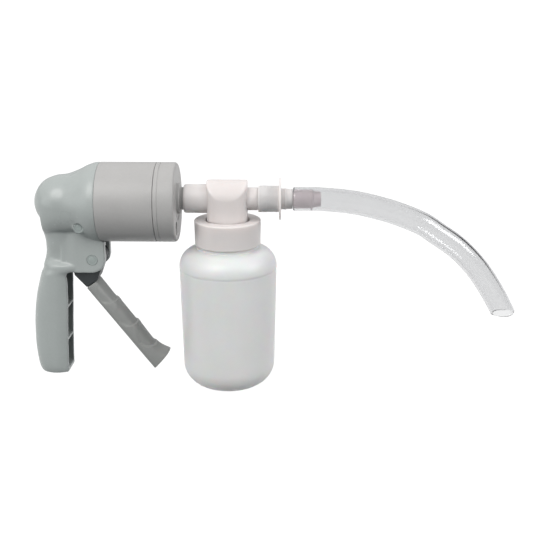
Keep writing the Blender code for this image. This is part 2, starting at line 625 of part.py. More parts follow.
def make_trigger():
    slopes = [0.0] * (len(TRIGGER_FRONT) - 2) + [TOE_SLOPE / 2, TOE_SLOPE]
    rings = [
        trigger_ring(down * MM, front * MM, slope) for (down, front), slope in zip(TRIGGER_FRONT, slopes)
    ]
    grip = trigger_place(loft("trigger_grip", rings, "trigger_grey"))
    socket = box("grip_socket", (-13.9 * MM, -5.3 * MM, -62 * MM), (-9.2 * MM, 5.3 * MM, -10 * MM))
    cut(grip, trigger_place(socket))

    block = (
        [(-16.8, -13.2), (-18.0, -1.5), (-16.0, 3.0), (-9.2, 7.0)]
        + arc((0.0, 0.0), 8.0, 118, -28, 8)
        + [(-7.4, -13.2)]
    )
    block = [(x * MM, z * MM) for x, z in block]
    lever = trigger_place(plate("trigger_lever", block, 8.4 * MM, "lever_dark"))
    tongue = box("lever_tongue", (-13.6 * MM, -5 * MM, -61.7 * MM), (-9.5 * MM, 5 * MM, -12 * MM))
    slot_low, tip = 37.2, 45.0
    arm = (
        [(-5.3, 0.0), (5.3, 0.0), (5.3, tip - 1.5), (3.9, tip), (2.75, tip)]
        + arc((0.0, slot_low), 2.75, 0, -180, 8)
        + [(-2.75, tip), (-3.9, tip), (-5.3, tip - 1.5)]
    )
    arm = plate("lever_arm", [(x * MM, z * MM) for x, z in arm], 3.5 * MM)
    place(arm, (PIVOT_X, 0.0, PIVOT_Z), (0.0, -ARM_SWING, 0.0))
    bore = cylinder("lever_bore", (0, -12 * MM, 0), (0, 12 * MM, 0), 4.3 * MM)
    join(lever, trigger_place(tongue), arm)
    cut(lever, trigger_place(bore))
    outline = [(8.6 * MM, 2.6 * MM), (8.6 * MM, 4.0 * MM), (-8.6 * MM, 4.0 * MM), (-8.6 * MM, 2.6 * MM)]
    bush = turned("pivot_bush", outline, "acetal", steps=24)
    place(bush, (PIVOT_X, 0.0, PIVOT_Z), (math.pi / 2, 0.0, 0.0))

    for word, down in (("upper", 25.0 * MM), ("lower", 53.0 * MM)):
        seat = cylinder(f"{word}_seat", (-18.4 * MM, 0, -down), (-15 * MM, 0, -down), 2.7 * MM, steps=16)
        hole = cylinder(f"{word}_hole", (-16.4 * MM, 0, -down), (-9.3 * MM, 0, -down), 1.5 * MM, steps=16)
        cut(grip, trigger_place(seat), trigger_place(hole))
        cut(lever, hole)
        outline = [(-16.1, 0.0), (-16.1, 2.4), (-15.3, 2.4), (-15.3, 1.2), (-9.9, 1.2), (-9.9, 0.0)]
        screw = turned(f"trigger_screw_{word}", [(x * MM, r * MM) for x, r in outline], "steel", steps=16)
        below = Vector((math.sin(TRIGGER_LEAN), 0.0, -math.cos(TRIGGER_LEAN))) * down
        place(screw, Vector((PIVOT_X, 0.0, PIVOT_Z)) + below, (0.0, math.pi / 2 - TRIGGER_LEAN, 0.0))


# ---------------------------------------------------------------- tee, screw cap, bottle and float

def tee_section(z, power, steps=32):
    """Level section of the tee's body: round at a power of two, and squarer above it."""
    ring = []
    for i in range(steps):
        angle = 2 * math.pi * (i + 0.5) / steps
        across, along = math.cos(angle), math.sin(angle)
        reach = TEE_R / (abs(across) ** power + abs(along) ** power) ** (1.0 / power)
        ring.append(Vector((reach * across, reach * along, z)))
    return ring


def make_tee():
    flange_low, flange_high = 110.2 * MM, 112.2 * MM
    levels = [(flange_high - 0.5 * MM, 2.0), (115.5 * MM, 2.0), (119.0 * MM, TEE_SQUARE), (150 * MM, TEE_SQUARE)]
    tee = loft("tee_adapter", [tee_section(z, power) for z, power in levels], "white_plastic")
    roof = [(-TEE_ROOF_R, 100 * MM), (TEE_ROOF_R, 100 * MM)] + arc((0.0, TEE_ROOF_Z), TEE_ROOF_R, 0, 180, 18)
    boolean(tee, plate("tee_roof", roof, 30 * MM, across="X"), "INTERSECT")
    rear = ARM_REAR_X
    outline = [(-8 * MM, 0.0), (-8 * MM, ARM_R), (rear + 1.4 * MM, ARM_R),
               (rear + 0.4 * MM, ARM_R - 0.4 * MM), (rear, ARM_R - 1.3 * MM), (rear, 0.0)]
    arm = turned("tee_arm", outline, axis="X", at=(0, 0, PORT_Z), steps=24)
    outline = [(33.0, 0.0), (33.0, 6.9), (32.5, 7.3), (20.7, 7.5), (20.4, 7.65), (8.0, 7.65), (8.0, 0.0)]
    outline = [(x * MM, r * MM) for x, r in outline]
    spigot = turned("tee_spigot", outline, axis="X", at=(0, 0, PORT_Z), steps=24)
    flange = [(flange_high, 0.0), (flange_high, 19.5 * MM), (flange_low, 19.5 * MM), (flange_low, 14.6 * MM),
              (106 * MM, 14.6 * MM), (106 * MM, 0.0)]
    flange = turned("tee_flange", flange)
    float_stub = cylinder("float_stub", (FLOAT_X, 0, 102.8 * MM), (FLOAT_X, 0, 108 * MM), 4.9 * MM)
    spout = cylinder("spout", (SPOUT_X, 0, 90 * MM), (SPOUT_X, 0, 108 * MM), 4.7 * MM)
    join(tee, arm, spigot, flange, float_stub, spout)
    socket = cylinder("arm_socket", (rear - 1 * MM, 0, PORT_Z), (-14 * MM, 0, PORT_Z), 7.9 * MM,
                      end_radius=7.65 * MM, steps=32)
    suction = cylinder("suction_bore", (-20 * MM, 0, PORT_Z), (-2 * MM, 0, PORT_Z), 4.6 * MM)
    float_bore = cylinder("float_bore", (FLOAT_X, 0, 100 * MM), (FLOAT_X, 0, PORT_Z - 1.3 * MM), 3.2 * MM)
    patient = cylinder("patient_bore", (3 * MM, 0, PORT_Z), (36 * MM, 0, PORT_Z), 5.0 * MM)
    spout_bore = cylinder("spout_bore", (SPOUT_X, 0, 88 * MM), (SPOUT_X, 0, PORT_Z - 1.3 * MM), 3.5 * MM)
    cut(tee, float_bore, spout_bore, suction, patient, socket)


def make_float():
    top, floor = CAGE_TOP_Z, CAGE_FLOOR_Z
    outline = [(top, 5.2 * MM), (top, 7.4 * MM), (floor, 7.4 * MM), (floor, 2.5 * MM),
               (floor + 1.2 * MM, 2.5 * MM), (floor + 1.2 * MM, 6.2 * MM), (102.4 * MM, 6.2 * MM),
               (102.4 * MM, 5.2 * MM)]
    cage = turned("float_cage", outline, "acetal", at=(FLOAT_X, 0, 0), steps=28)
    low, high, half = 91 * MM, 100.5 * MM, 2.0 * MM
    cut(cage,
        box("cage_window_x", (FLOAT_X - 12 * MM, -half, low), (FLOAT_X + 12 * MM, half, high)),
        box("cage_window_y", (FLOAT_X - half, -12 * MM, low), (FLOAT_X + half, 12 * MM, high)))
    bm = bmesh.new()
    bmesh.ops.create_uvsphere(bm, u_segments=16, v_segments=10, radius=FLOAT_R)
    place(add_mesh("float_ball", bm, "silicone"), (FLOAT_X, 0.0, FLOAT_Z))


def make_screw_cap():
    outline = [(117.5, 16.6), (117.5, 19.6), (116.7, 21.4), (115.0, 22.6), (101.4, 22.3), (100.9, 21.8),
               (100.9, 20.2), (112.5, 20.2), (112.5, 13.95), (114.7, 13.95), (114.7, 15.8)]
    turned("bottle_cap", [(z * MM, r * MM) for z, r in outline], "white_plastic", steps=36)
    outline = [(109.9, 15.0), (109.9, 19.3), (109.3, 19.3), (109.3, 15.0)]
    turned("bottle_gasket", [(z * MM, r * MM) for z, r in outline], "silicone")


def make_bottle():
    top, wall = BOTTLE_TOP_Z, BOTTLE_WALL

    def shoulder(inset, count=5):
        wide, rise = BOTTLE_R - SHOULDER_TOP_R - inset, SHOULDER_RISE - inset
        steps = [math.pi / 2 * (1 - i / count) for i in range(count + 1)]
        return [(SHOULDER_Z + rise * math.sin(a), SHOULDER_TOP_R + wide * math.cos(a)) for a in steps]

    def foot(inset, count=6):
        centre = (BASE_ROUND, BOTTLE_FOOT_R - BASE_ROUND)
        return [(centre[0] - (BASE_ROUND - inset) * math.sin(math.pi / 2 * i / count),
                 centre[1] + (BASE_ROUND - inset) * math.cos(math.pi / 2 * i / count))
                for i in range(count + 1)]

    outside = [(top, NECK_R), (100.2 * MM, NECK_R)] + shoulder(0.0) + foot(0.0) + [(0.0, 0.0)]
    inside = [(wall, 0.0)] + foot(wall)[::-1] + shoulder(wall)[::-1]
    inside += [(97.8 * MM, NECK_BORE_R), (top, NECK_BORE_R)]
    turned("bottle", outside + inside, "milky_plastic", steps=32)


# ---------------------------------------------------------------- catheter

def make_connector():
    outline = [(20.9, 8.0), (20.9, 8.5), (21.3, 8.85), (34.8, 8.85), (34.8, 13.6), (35.1, 13.95),
               (35.8, 13.95), (36.1, 13.6), (36.1, 7.05), (43.6, 6.6), (43.9, 6.3), (43.9, 5.2),
               (33.6, 5.2), (33.6, 7.75)]
    turned("catheter_connector", [(x * MM, r * MM) for x, r in outline], "white_plastic", "X",
           (0, 0, PORT_Z))
    outline = [(62.7, 3.5), (62.7, 4.5), (61.5, 5.0), (57.3, 6.1), (44.3, 6.1), (44.3, 4.9), (34.0, 4.9),
               (34.0, 3.5)]
    turned("catheter_reducer", [(x * MM, r * MM) for x, r in outline], "reducer_grey", "X",
           (0, 0, PORT_Z), 28)


def smooth_route(points, per_span=24):
    """A Catmull-Rom curve through the points."""
    ends = [2 * points[0] - points[1]] + points + [2 * points[-1] - points[-2]]
    route = []
    for a, b, c, d in zip(ends, ends[1:], ends[2:], ends[3:]):
        for i in range(per_span):
            t = i / per_span
            route.append(0.5 * ((2 * b) + (c - a) * t + (2 * a - 5 * b + 4 * c - d) * t ** 2
                                + (3 * b - a - 3 * c + d) * t ** 3))
    return route + [points[-1]]


def even_points(route, step):
    """Points a step apart along a fine route."""
    kept = [route[0]]
    for point in route[1:]:
        if (point - kept[-1]).length >= step:
            kept.append(point)
    if (route[-1] - kept[-1]).length < step / 2:
        kept.pop()
    return kept + [route[-1]]


def make_catheter():
    route = smooth_route([Vector((x * MM, 0.0, z * MM)) for x, z in TUBE_ROUTE])
    points = even_points(route, TUBE_STEP)
    data = bpy.data.curves.new("suction_catheter", "CURVE")
    data.dimensions = "3D"
    data.bevel_depth = TUBE_R
    data.bevel_resolution = 5
    spline = data.splines.new("POLY")
    spline.points.add(len(points) - 1)
    for point, place_at in zip(spline.points, points):
        point.co = (*place_at, 1.0)
    tube = mesh_of_curve(add_object("catheter_route", data), "suction_catheter", "clear_tube")
    shell = tube.modifiers.new("wall", "SOLIDIFY")
    shell.thickness = TUBE_WALL
    shell.offset = -1.0
    below = 40 * MM
    cutter = box("tip_cut", (-below, -below, -below), (below, below, 0.0))
    place(cutter, TIP_CENTRE, (0.0, TIP_FACE, 0.0))
    cut(tube, cutter)


make_housing()
make_housing_fasteners()
make_barrel()
make_front_cap()
make_valves()
make_piston()
make_spring()
make_trigger()
make_tee()
make_float()
make_screw_cap()
make_bottle()
make_connector()
make_catheter()
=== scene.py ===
"""Detailed pieces, materials, light and camera for the hand-operated suction pump.

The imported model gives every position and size. Each piece that shows is rebuilt at full detail in the
space its CAD node holds, and every piece takes a procedural material.
"""

import json
import math

import bmesh
import bpy
from mathutils import Matrix, Vector

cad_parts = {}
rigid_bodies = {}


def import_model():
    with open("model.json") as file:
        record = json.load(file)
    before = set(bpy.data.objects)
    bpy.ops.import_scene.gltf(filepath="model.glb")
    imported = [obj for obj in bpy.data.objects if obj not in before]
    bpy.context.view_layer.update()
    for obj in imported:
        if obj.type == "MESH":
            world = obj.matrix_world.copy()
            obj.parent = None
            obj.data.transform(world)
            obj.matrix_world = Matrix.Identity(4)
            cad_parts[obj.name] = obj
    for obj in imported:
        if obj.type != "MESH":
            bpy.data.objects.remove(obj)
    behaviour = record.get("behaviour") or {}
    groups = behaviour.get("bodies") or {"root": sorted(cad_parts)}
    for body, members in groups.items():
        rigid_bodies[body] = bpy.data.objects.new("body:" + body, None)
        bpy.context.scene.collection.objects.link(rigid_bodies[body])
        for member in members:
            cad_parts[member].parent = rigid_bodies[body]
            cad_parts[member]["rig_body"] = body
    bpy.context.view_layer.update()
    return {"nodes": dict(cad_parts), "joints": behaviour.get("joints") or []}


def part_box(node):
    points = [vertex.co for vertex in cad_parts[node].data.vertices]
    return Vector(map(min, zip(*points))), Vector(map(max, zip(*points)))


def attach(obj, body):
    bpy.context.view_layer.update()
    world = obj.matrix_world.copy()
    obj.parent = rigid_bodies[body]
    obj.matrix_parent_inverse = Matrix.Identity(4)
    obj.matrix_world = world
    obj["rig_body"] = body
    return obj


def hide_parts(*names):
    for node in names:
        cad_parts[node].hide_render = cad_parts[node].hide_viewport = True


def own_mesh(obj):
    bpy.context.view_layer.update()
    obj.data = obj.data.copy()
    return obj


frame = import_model()
JOINTS = {joint["name"]: joint for joint in frame["joints"]}
MM = 0.001
X, Y, Z = Vector((1, 0, 0)), Vector((0, 1, 0)), Vector((0, 0, 1))

# Axes and faces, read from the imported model
BARREL_LOW, BARREL_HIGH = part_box("barrel")
PUMP_Z = (BARREL_LOW.z + BARREL_HIGH.z) / 2
BARREL_R = (BARREL_HIGH.y - BARREL_LOW.y) / 2
PORT_Z = JOINTS["tee_swivel"]["pos_m"][2]
PIVOT = Vector(JOINTS["trigger_pivot"]["pos_m"])
SCREW_LOW, SCREW_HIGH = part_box("housing_screw_left")
SCREW = (SCREW_LOW + SCREW_HIGH) / 2
BUTTON_R = (SCREW_HIGH.x - SCREW_LOW.x) / 2
SEAM_X = BARREL_LOW.x
CAP_REAR_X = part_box("front_cap")[0].x
TRIGGER_LEAN = math.radians(36.85)
ARM_LEAN = math.radians(-20.0)


# ---------------------------------------------------------------- mesh helpers

def piece_of(name, bm):
    """Links a mesh as a new piece."""
    mesh = bpy.data.meshes.new(name)
    bmesh.ops.recalc_face_normals(bm, faces=bm.faces)
    bm.to_mesh(mesh)
    bm.free()
    piece = bpy.data.objects.new(name, mesh)
    bpy.context.scene.collection.objects.link(piece)
    return piece


def settle(piece):
    """Keeps what the modifiers make of the piece."""
    graph = bpy.context.evaluated_depsgraph_get()
    mesh = bpy.data.meshes.new_from_object(piece.evaluated_get(graph))
    piece.modifiers.clear()
    piece.data = mesh
    return piece


def combine(piece, operation, others):
    for other in others:
        modifier = piece.modifiers.new(other.name, "BOOLEAN")
        modifier.operation = operation
        modifier.solver = "EXACT"
        modifier.object = other
    settle(piece)
    for other in others:
        bpy.data.objects.remove(other, do_unlink=True)
    return piece


def cut(piece, *others):
    return combine(piece, "DIFFERENCE", others)


def join(piece, *others):
    return combine(piece, "UNION", others)


def remould(piece, voxel, rounds):
    """Blends a joined body into one moulding, with its corners softened."""
    remesh = piece.modifiers.new("remesh", "REMESH")
    remesh.mode = "VOXEL"
    remesh.voxel_size = voxel
    if rounds:
        soften = piece.modifiers.new("soften", "SMOOTH")
        soften.factor = 0.5
        soften.iterations = rounds
    return settle(piece)


def shade(piece, angle=32.0):
    """Smooth shading that keeps true corners, with flat faces left flat beside their rounded edges."""
    piece.data.shade_smooth()
    piece.data.set_sharp_from_angle(angle=math.radians(angle))
    weigh = piece.modifiers.new("weigh", "WEIGHTED_NORMAL")
    weigh.keep_sharp = True
    return settle(piece)


def eased(outline, count=4):
    """Rounds the corners of an outline: (a, b) or (a, b, radius) points become plain (a, b) points."""
    points = [Vector(point[:2]) for point in outline]
    result = []
    for i, (point, given) in enumerate(zip(points, outline)):
        if len(given) < 3:
            result.append(point)
            continue
        before = points[i - 1] - point
        after = points[(i + 1) % len(points)] - point
        half = before.angle(after) / 2
        reach = min(given[2] / math.tan(half), 0.48 * before.length, 0.48 * after.length)
        start = point + before.normalized() * reach
        end = point + after.normalized() * reach
        for step in range(count + 1):
            t = step / count
            result.append(start * (1 - t) ** 2 + point * 2 * t * (1 - t) + end * t ** 2)
    return result


def turned(name, outline, axis=Z, at=(0, 0, 0), steps=96, scale=MM):
    """A turned body. The outline is (distance along the axis, radius[, corner round]), in millimetres."""
    turn = axis.to_track_quat("Z", "Y").to_matrix()
    bm = bmesh.new()
    rows = []
    for along, radius in eased(outline):
        count = 1 if radius < 1e-6 else steps
        angles = [2 * math.pi * k / steps for k in range(count)]
        ring = [Vector((radius * math.cos(a), radius * math.sin(a), along)) for a in angles]
        rows.append([bm.verts.new(turn @ (point * scale) + Vector(at)) for point in ring])
    for low, high in zip(rows, rows[1:] + rows[:1]):
        if len(low) == len(high) == 1:
            continue
        for k in range(steps):
            j = (k + 1) % steps
            corners = [low[k % len(low)], low[j % len(low)], high[j % len(high)], high[k % len(high)]]
            bm.faces.new(list(dict.fromkeys(corners)))
    return piece_of(name, bm)


def loft(name, rings):
    """A closed body through rings that all have as many points."""
    bm = bmesh.new()
    rows = [[bm.verts.new(point) for point in ring] for ring in rings]
    count = len(rows[0])
    for low, high in zip(rows, rows[1:]):
        for i in range(count):
            j = (i + 1) % count
            bm.faces.new((low[i], low[j], high[j], high[i]))
    bm.faces.new(rows[0][::-1])
    bm.faces.new(rows[-1])
    return piece_of(name, bm)


def plate(name, outline, half, round_by=0.0):
    """A flat outline in X and Z, as thick in Y, with its edges rounded."""
    bm = bmesh.new()
    near = [bm.verts.new((x, -half, z)) for x, z in outline]
    far = [bm.verts.new((x, half, z)) for x, z in outline]
    bm.faces.new(near)
    bm.faces.new(far[::-1])
    for i in range(len(outline)):
        j = (i + 1) % len(outline)
        bm.faces.new((near[i], far[i], far[j], near[j]))
    piece = piece_of(name, bm)
    if round_by:
        bevel = piece.modifiers.new("round", "BEVEL")
        bevel.width = round_by
        bevel.segments = 3
        bevel.limit_method = "ANGLE"
        bevel.angle_limit = math.radians(35)
        settle(piece)
    return piece


def block(name, low, high, round_by=0.0):
    outline = [(low[0], low[2]), (high[0], low[2]), (high[0], high[2]), (low[0], high[2])]
    piece = plate(name, outline, (high[1] - low[1]) / 2, round_by)
    piece.data.transform(Matrix.Translation((0, (low[1] + high[1]) / 2, 0)))
    return piece


def rod(name, start, end, radius, end_radius=None, steps=64):
    """A plain round bar between two points, mostly for holes."""
    start, end = Vector(start), Vector(end)
    far = radius if end_radius is None else end_radius
    length = (end - start).length
    outline = [(0, 0), (0, radius), (length, far), (length, 0)]
    return turned(name, outline, end - start, start, steps, scale=1.0)


def arc(centre, radius, start, end, count):
    """Points on a circle, in degrees from +X towards +Z."""
    angles = [math.radians(start + (end - start) * i / count) for i in range(count + 1)]
    return [(centre[0] + radius * math.cos(a), centre[1] + radius * math.sin(a)) for a in angles]


def curve_through(table, key):
    """Smooth reading of a table of (key, number, ...) rows, by cubic pieces."""
    if key <= table[0][0]:
        return table[0][1:]
    if key >= table[-1][0]:
        return table[-1][1:]
    at = next(i for i in range(len(table) - 1) if key <= table[i + 1][0])
    low, high = table[at], table[at + 1]
    before, after = table[max(at - 1, 0)], table[min(at + 2, len(table) - 1)]
    span = high[0] - low[0]
    t = (key - low[0]) / span
    found = []
    for i in range(1, len(low)):
        slope_low = (high[i] - before[i]) / (high[0] - before[0]) * span
        slope_high = (after[i] - low[i]) / (after[0] - low[0]) * span
        found.append(
            low[i] * (2 * t ** 3 - 3 * t ** 2 + 1) + slope_low * (t ** 3 - 2 * t ** 2 + t)
            + high[i] * (3 * t ** 2 - 2 * t ** 3) + slope_high * (t ** 3 - t ** 2)
        )
    return found


def smoothstep(low, high, value):
    t = min(1.0, max(0.0, (value - low) / (high - low)))
    return t * t * (3 - 2 * t)


# ---------------------------------------------------------------- materials

def moulded(name, color, roughness, tint=0.05, grain=0.10, grain_size=0.45, worn=0.0, uneven=0.05, **sockets):
    """Moulded plastic or metal: a fine surface grain, slow changes of tone and gloss, and paler edges."""
    material = bpy.data.materials.new(name)
    material.use_nodes = True
    nodes, links = material.node_tree.nodes, material.node_tree.links
    shader = nodes["Principled BSDF"]
    for socket, value in sockets.items():
        shader.inputs[socket.replace("_", " ")].default_value = value
    place = nodes.new("ShaderNodeTexCoord")

    def noise(scale, detail):
        node = nodes.new("ShaderNodeTexNoise")
        node.inputs["Scale"].default_value = scale
        node.inputs["Detail"].default_value = detail
        links.new(place.outputs["Object"], node.inputs["Vector"])
        return node.outputs["Fac"]

    def ranged(source, low, high, start=0.3, end=0.7):
        node = nodes.new("ShaderNodeMapRange")
        for i, value in zip(range(1, 5), (start, end, low, high)):
            node.inputs[i].default_value = value
        links.new(source, node.inputs[0])
        return node.outputs[0]

    slow = noise(45.0, 3.0)
    fine = noise(1000.0 / grain_size, 2.0)
    specks = noise(650.0, 5.0)

    ramp = nodes.new("ShaderNodeValToRGB")
    dark = [c * (1.0 - tint) for c in color[:3]] + [1.0]
    light = [min(1.0, c * (1.0 + tint)) for c in color[:3]] + [1.0]
    ramp.color_ramp.elements[0].position = 0.3
    ramp.color_ramp.elements[0].color = dark
    ramp.color_ramp.elements[1].position = 0.7
    ramp.color_ramp.elements[1].color = light
    blend = nodes.new("ShaderNodeMath")
    blend.operation = "MULTIPLY_ADD"
    blend.inputs[1].default_value = 0.35
    links.new(specks, blend.inputs[0])
    scaled = nodes.new("ShaderNodeMath")
    scaled.operation = "MULTIPLY"
    scaled.inputs[1].default_value = 0.65
    links.new(slow, scaled.inputs[0])
    links.new(scaled.outputs[0], blend.inputs[2])
    links.new(blend.outputs[0], ramp.inputs["Fac"])
    surface = ramp.outputs["Color"]
    if worn:
        shape = nodes.new("ShaderNodeNewGeometry")
        edges = ranged(shape.outputs["Pointiness"], 0.0, worn, 0.52, 0.60)
        mix = nodes.new("ShaderNodeMix")
        mix.data_type = "RGBA"
        mix.inputs["B"].default_value = [min(1.0, c * 1.35 + 0.04) for c in color[:3]] + [1.0]
        links.new(edges, mix.inputs["Factor"])
        links.new(surface, mix.inputs["A"])
        surface = mix.outputs["Result"]
    links.new(surface, shader.inputs["Base Color"])
    links.new(ranged(slow, roughness - uneven, roughness + 1.2 * uneven), shader.inputs["Roughness"])

    bump = nodes.new("ShaderNodeBump")
    bump.inputs["Strength"].default_value = grain
    bump.inputs["Distance"].default_value = 0.00012
    links.new(fine, bump.inputs["Height"])
    links.new(bump.outputs["Normal"], shader.inputs["Normal"])
    return material


LOOKS = {
    "housing": moulded("housing_plastic", (0.35, 0.378, 0.37), 0.31, worn=0.35),
    "barrel": moulded("barrel_plastic", (0.375, 0.37, 0.365), 0.42, worn=0.35),
    "trigger": moulded("trigger_plastic", (0.25, 0.257, 0.25), 0.46, worn=0.45),
    # The lever's near-black colour is painted shade: it darkens the pocket between the trigger's walls, where
    # the shadow falls.
    "lever": moulded("lever_painted_shade", (0.008, 0.012, 0.014), 0.52, tint=0.12, worn=0.3),
    "fastener_cap": moulded("fastener_plastic", (0.30, 0.34, 0.33), 0.38, worn=0.3),
    "steel": moulded("stainless_steel", (0.62, 0.62, 0.61), 0.27, grain=0.05, Metallic=1.0),
    "acetal": moulded("natural_acetal", (0.70, 0.69, 0.66), 0.36, grain=0.05),
    "black_rubber": moulded("nitrile_rubber", (0.02, 0.02, 0.02), 0.58, tint=0.2, grain=0.2),
    "silicone": moulded("red_silicone", (0.55, 0.20, 0.12), 0.50, Subsurface_Weight=0.2),
    "float": moulded("float_plastic", (0.75, 0.74, 0.72), 0.35, grain=0.05),
    "white_plastic": moulded(
        "white_polypropylene", (0.67, 0.63, 0.62), 0.36, tint=0.02, grain=0.05, grain_size=0.8,
        Subsurface_Weight=0.7, Subsurface_Scale=0.006, Subsurface_Radius=(1.0, 0.9, 0.85),
    ),
    "milky_plastic": moulded(
        "natural_polyethylene", (0.925, 0.895, 0.895), 0.36, tint=0.02, grain=0.06, grain_size=1.2,
        Transmission_Weight=0.35, IOR=1.5, Subsurface_Weight=0.3, Subsurface_Scale=0.006,
    ),
    "clear_tube": moulded(
        "clear_vinyl", (0.87, 0.872, 0.872), 0.08, tint=0.01, grain=0.002, grain_size=2.5, uneven=0.004,
        Transmission_Weight=1.0, IOR=1.45,
    ),
    "reducer": moulded("reducer_plastic", (0.70, 0.62, 0.64), 0.34, tint=0.04, grain=0.05),
}


def tint_depth(material, color, density):
    """Clear material that darkens with the thickness the light has to cross."""
    nodes, links = material.node_tree.nodes, material.node_tree.links
    absorb = nodes.new("ShaderNodeVolumeAbsorption")
    absorb.inputs["Color"].default_value = color
    absorb.inputs["Density"].default_value = density
    links.new(absorb.outputs["Volume"], nodes["Material Output"].inputs["Volume"])


tint_depth(LOOKS["clear_tube"], (0.30, 0.31, 0.35, 1.0), 95.0)


def stands_for(piece, look, *nodes):
    """Shades a finished piece, gives it one material slot with the named look, puts it on the body of the CAD
    nodes it replaces and hides those nodes.
    """
    shade(piece)
    piece.data.materials.clear()
    piece.data.materials.append(LOOKS[look])
    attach(piece, frame["nodes"][nodes[0]]["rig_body"])
    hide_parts(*nodes)
    return piece


# ---------------------------------------------------------------- housing and grip

DOME = [(-129.7, 0.0), (-129.4, 2.6), (-128.8, 5.4), (-127.3, 8.8), (-125.3, 11.8), (-122.9, 14.2),
        (-119.4, 16.3), (-113.6, 18.2), (-106.9, 19.0), (-100.3, 21.3), (-96.4, 23.1), (-92.4, 25.1),
        (-88.0, 26.5), (-84.3, 26.7)]
GRIP = [                           # height, back, front, half width at the front edges, half width inside
    (8.5, -133.4, -112.9, 8.6, 10.6), (12.0, -134.8, -112.8, 9.0, 11.6), (17.2, -135.7, -112.7, 9.2, 12.0),
    (28.6, -136.5, -112.2, 9.3, 12.2), (43.6, -136.1, -111.4, 9.3, 12.2), (53.4, -135.2, -110.7, 9.3, 12.2),
    (65.6, -133.1, -110.0, 9.4, 12.3), (76.5, -130.1, -109.6, 10.2, 12.4), (82.0, -128.3, -109.3, 11.4, 12.6),
    (84.0, -127.1, -104.0, 11.7, 12.8), (87.6, -126.5, -102.0, 11.8, 12.8),
    (89.3, -125.9, -102.0, 10.8, 10.9), (90.8, -125.5, -102.0, 8.9, 8.9),
    (95.0, -124.5, -102.0, 8.9, 8.9), (101.5, -124.2, -102.0, 9.8, 9.9), (106.0, -124.6, -102.0, 10.2, 10.4),
    (111.8, -126.2, -104.0, 10.4, 10.8), (117.8, -127.0, -106.0, 9.6, 9.8),
]
WIDEST = 0.38                      # share of the grip's depth, from the front, where it is widest
WALL = 2.5
RIBS = (33.0, 57.0)
RIB_HALF = 0.7
NECK_HALF = 10.2
FOLD_Z = 110.8                     # level of the fold between the dome and the neck
CHEEK_HALF = 12.0
CHEEK_FRONT_X = -82.3
CHEEK_BOTTOM_Z = 83.0
CHEEK_CORNER_R = 9.0
SLOT_HALF = 5.0


def grip_ring(z, inset=0.0, front=None, count=26):
    """One level section of the grip, in metres: flat open front, bulging sides and a round back."""
    back, edge, half_edge, half_mid = curve_through(GRIP, z)
    back, half_edge, half_mid = back + inset, half_edge - inset, half_mid - inset
    side = [] if front is None else [(front, half_edge)]
    for i in range(count + 1):
        share = (i / (count + 1)) ** 0.8
        if share < WIDEST:
            half = half_edge + (half_mid - half_edge) * math.sin(math.pi / 2 * share / WIDEST)
        else:
            over = (share - WIDEST) / (1.0 - WIDEST)
            half = half_mid * math.sqrt(max(0.0, 1.0 - over ** 2.3))
        side.append((edge + (back - edge) * share, half))
    ring = [(x, -y) for x, y in side] + [(back, 0.0)] + [(x, y) for x, y in reversed(side)]
    return [Vector((x, y, z)) * MM for x, y in ring]


def levels(low, high, step=1.5):
    count = max(2, round((high - low) / step))
    return [low + (high - low) * i / count for i in range(count + 1)]


def cheek_rings():
    """Sections across X of the cheeks, which widen from the neck and end in a round lower corner."""
    rings = []
    for x in levels(-112.0, CHEEK_FRONT_X - 0.05, 0.9):
        half = NECK_HALF + (CHEEK_HALF - NECK_HALF) * smoothstep(-110.0, -100.5, x)
        over = max(0.0, x - (CHEEK_FRONT_X - CHEEK_CORNER_R))
        low = CHEEK_BOTTOM_Z + CHEEK_CORNER_R - math.sqrt(CHEEK_CORNER_R ** 2 - over ** 2)
        top = 110.7 - 6.3 * smoothstep(-87.5, CHEEK_FRONT_X, x)
        rings.append([Vector((x, y, z)) * MM for y, z in
                      ((-half, low), (half, low), (half, top), (-half, top))])
    return rings


def dome_chin():
    """The dome's underside: deeper and squarer than round, so that its fold over the neck runs level."""
    table = sorted(DOME)
    rings = []
    for x in levels(-123.8, -98.0, 0.8):
        radius = curve_through(table, x)[0] - 0.15
        power = 2.0 + 0.6 * min(1.0, (-98.0 - x) / 10.0)
        beside_neck = (1.0 - (NECK_HALF / radius) ** power) ** (1.0 / power)
        depth = min(21.5, max(radius, (PUMP_Z / MM - FOLD_Z) / beside_neck))
        ring = [Vector((x, radius * side, PUMP_Z / MM + 3.1)) * MM for side in (-0.85, 0.85)]
        for i in range(39):
            angle = math.pi * (i + 0.7) / 39.4
            across = math.copysign(abs(math.cos(angle)) ** (2.0 / power), math.cos(angle))
            down = depth * math.sin(angle) ** (2.0 / power)
            ring.append(Vector((x, radius * across, PUMP_Z / MM - down)) * MM)
        rings.append(ring)
    return loft("dome_chin", rings)


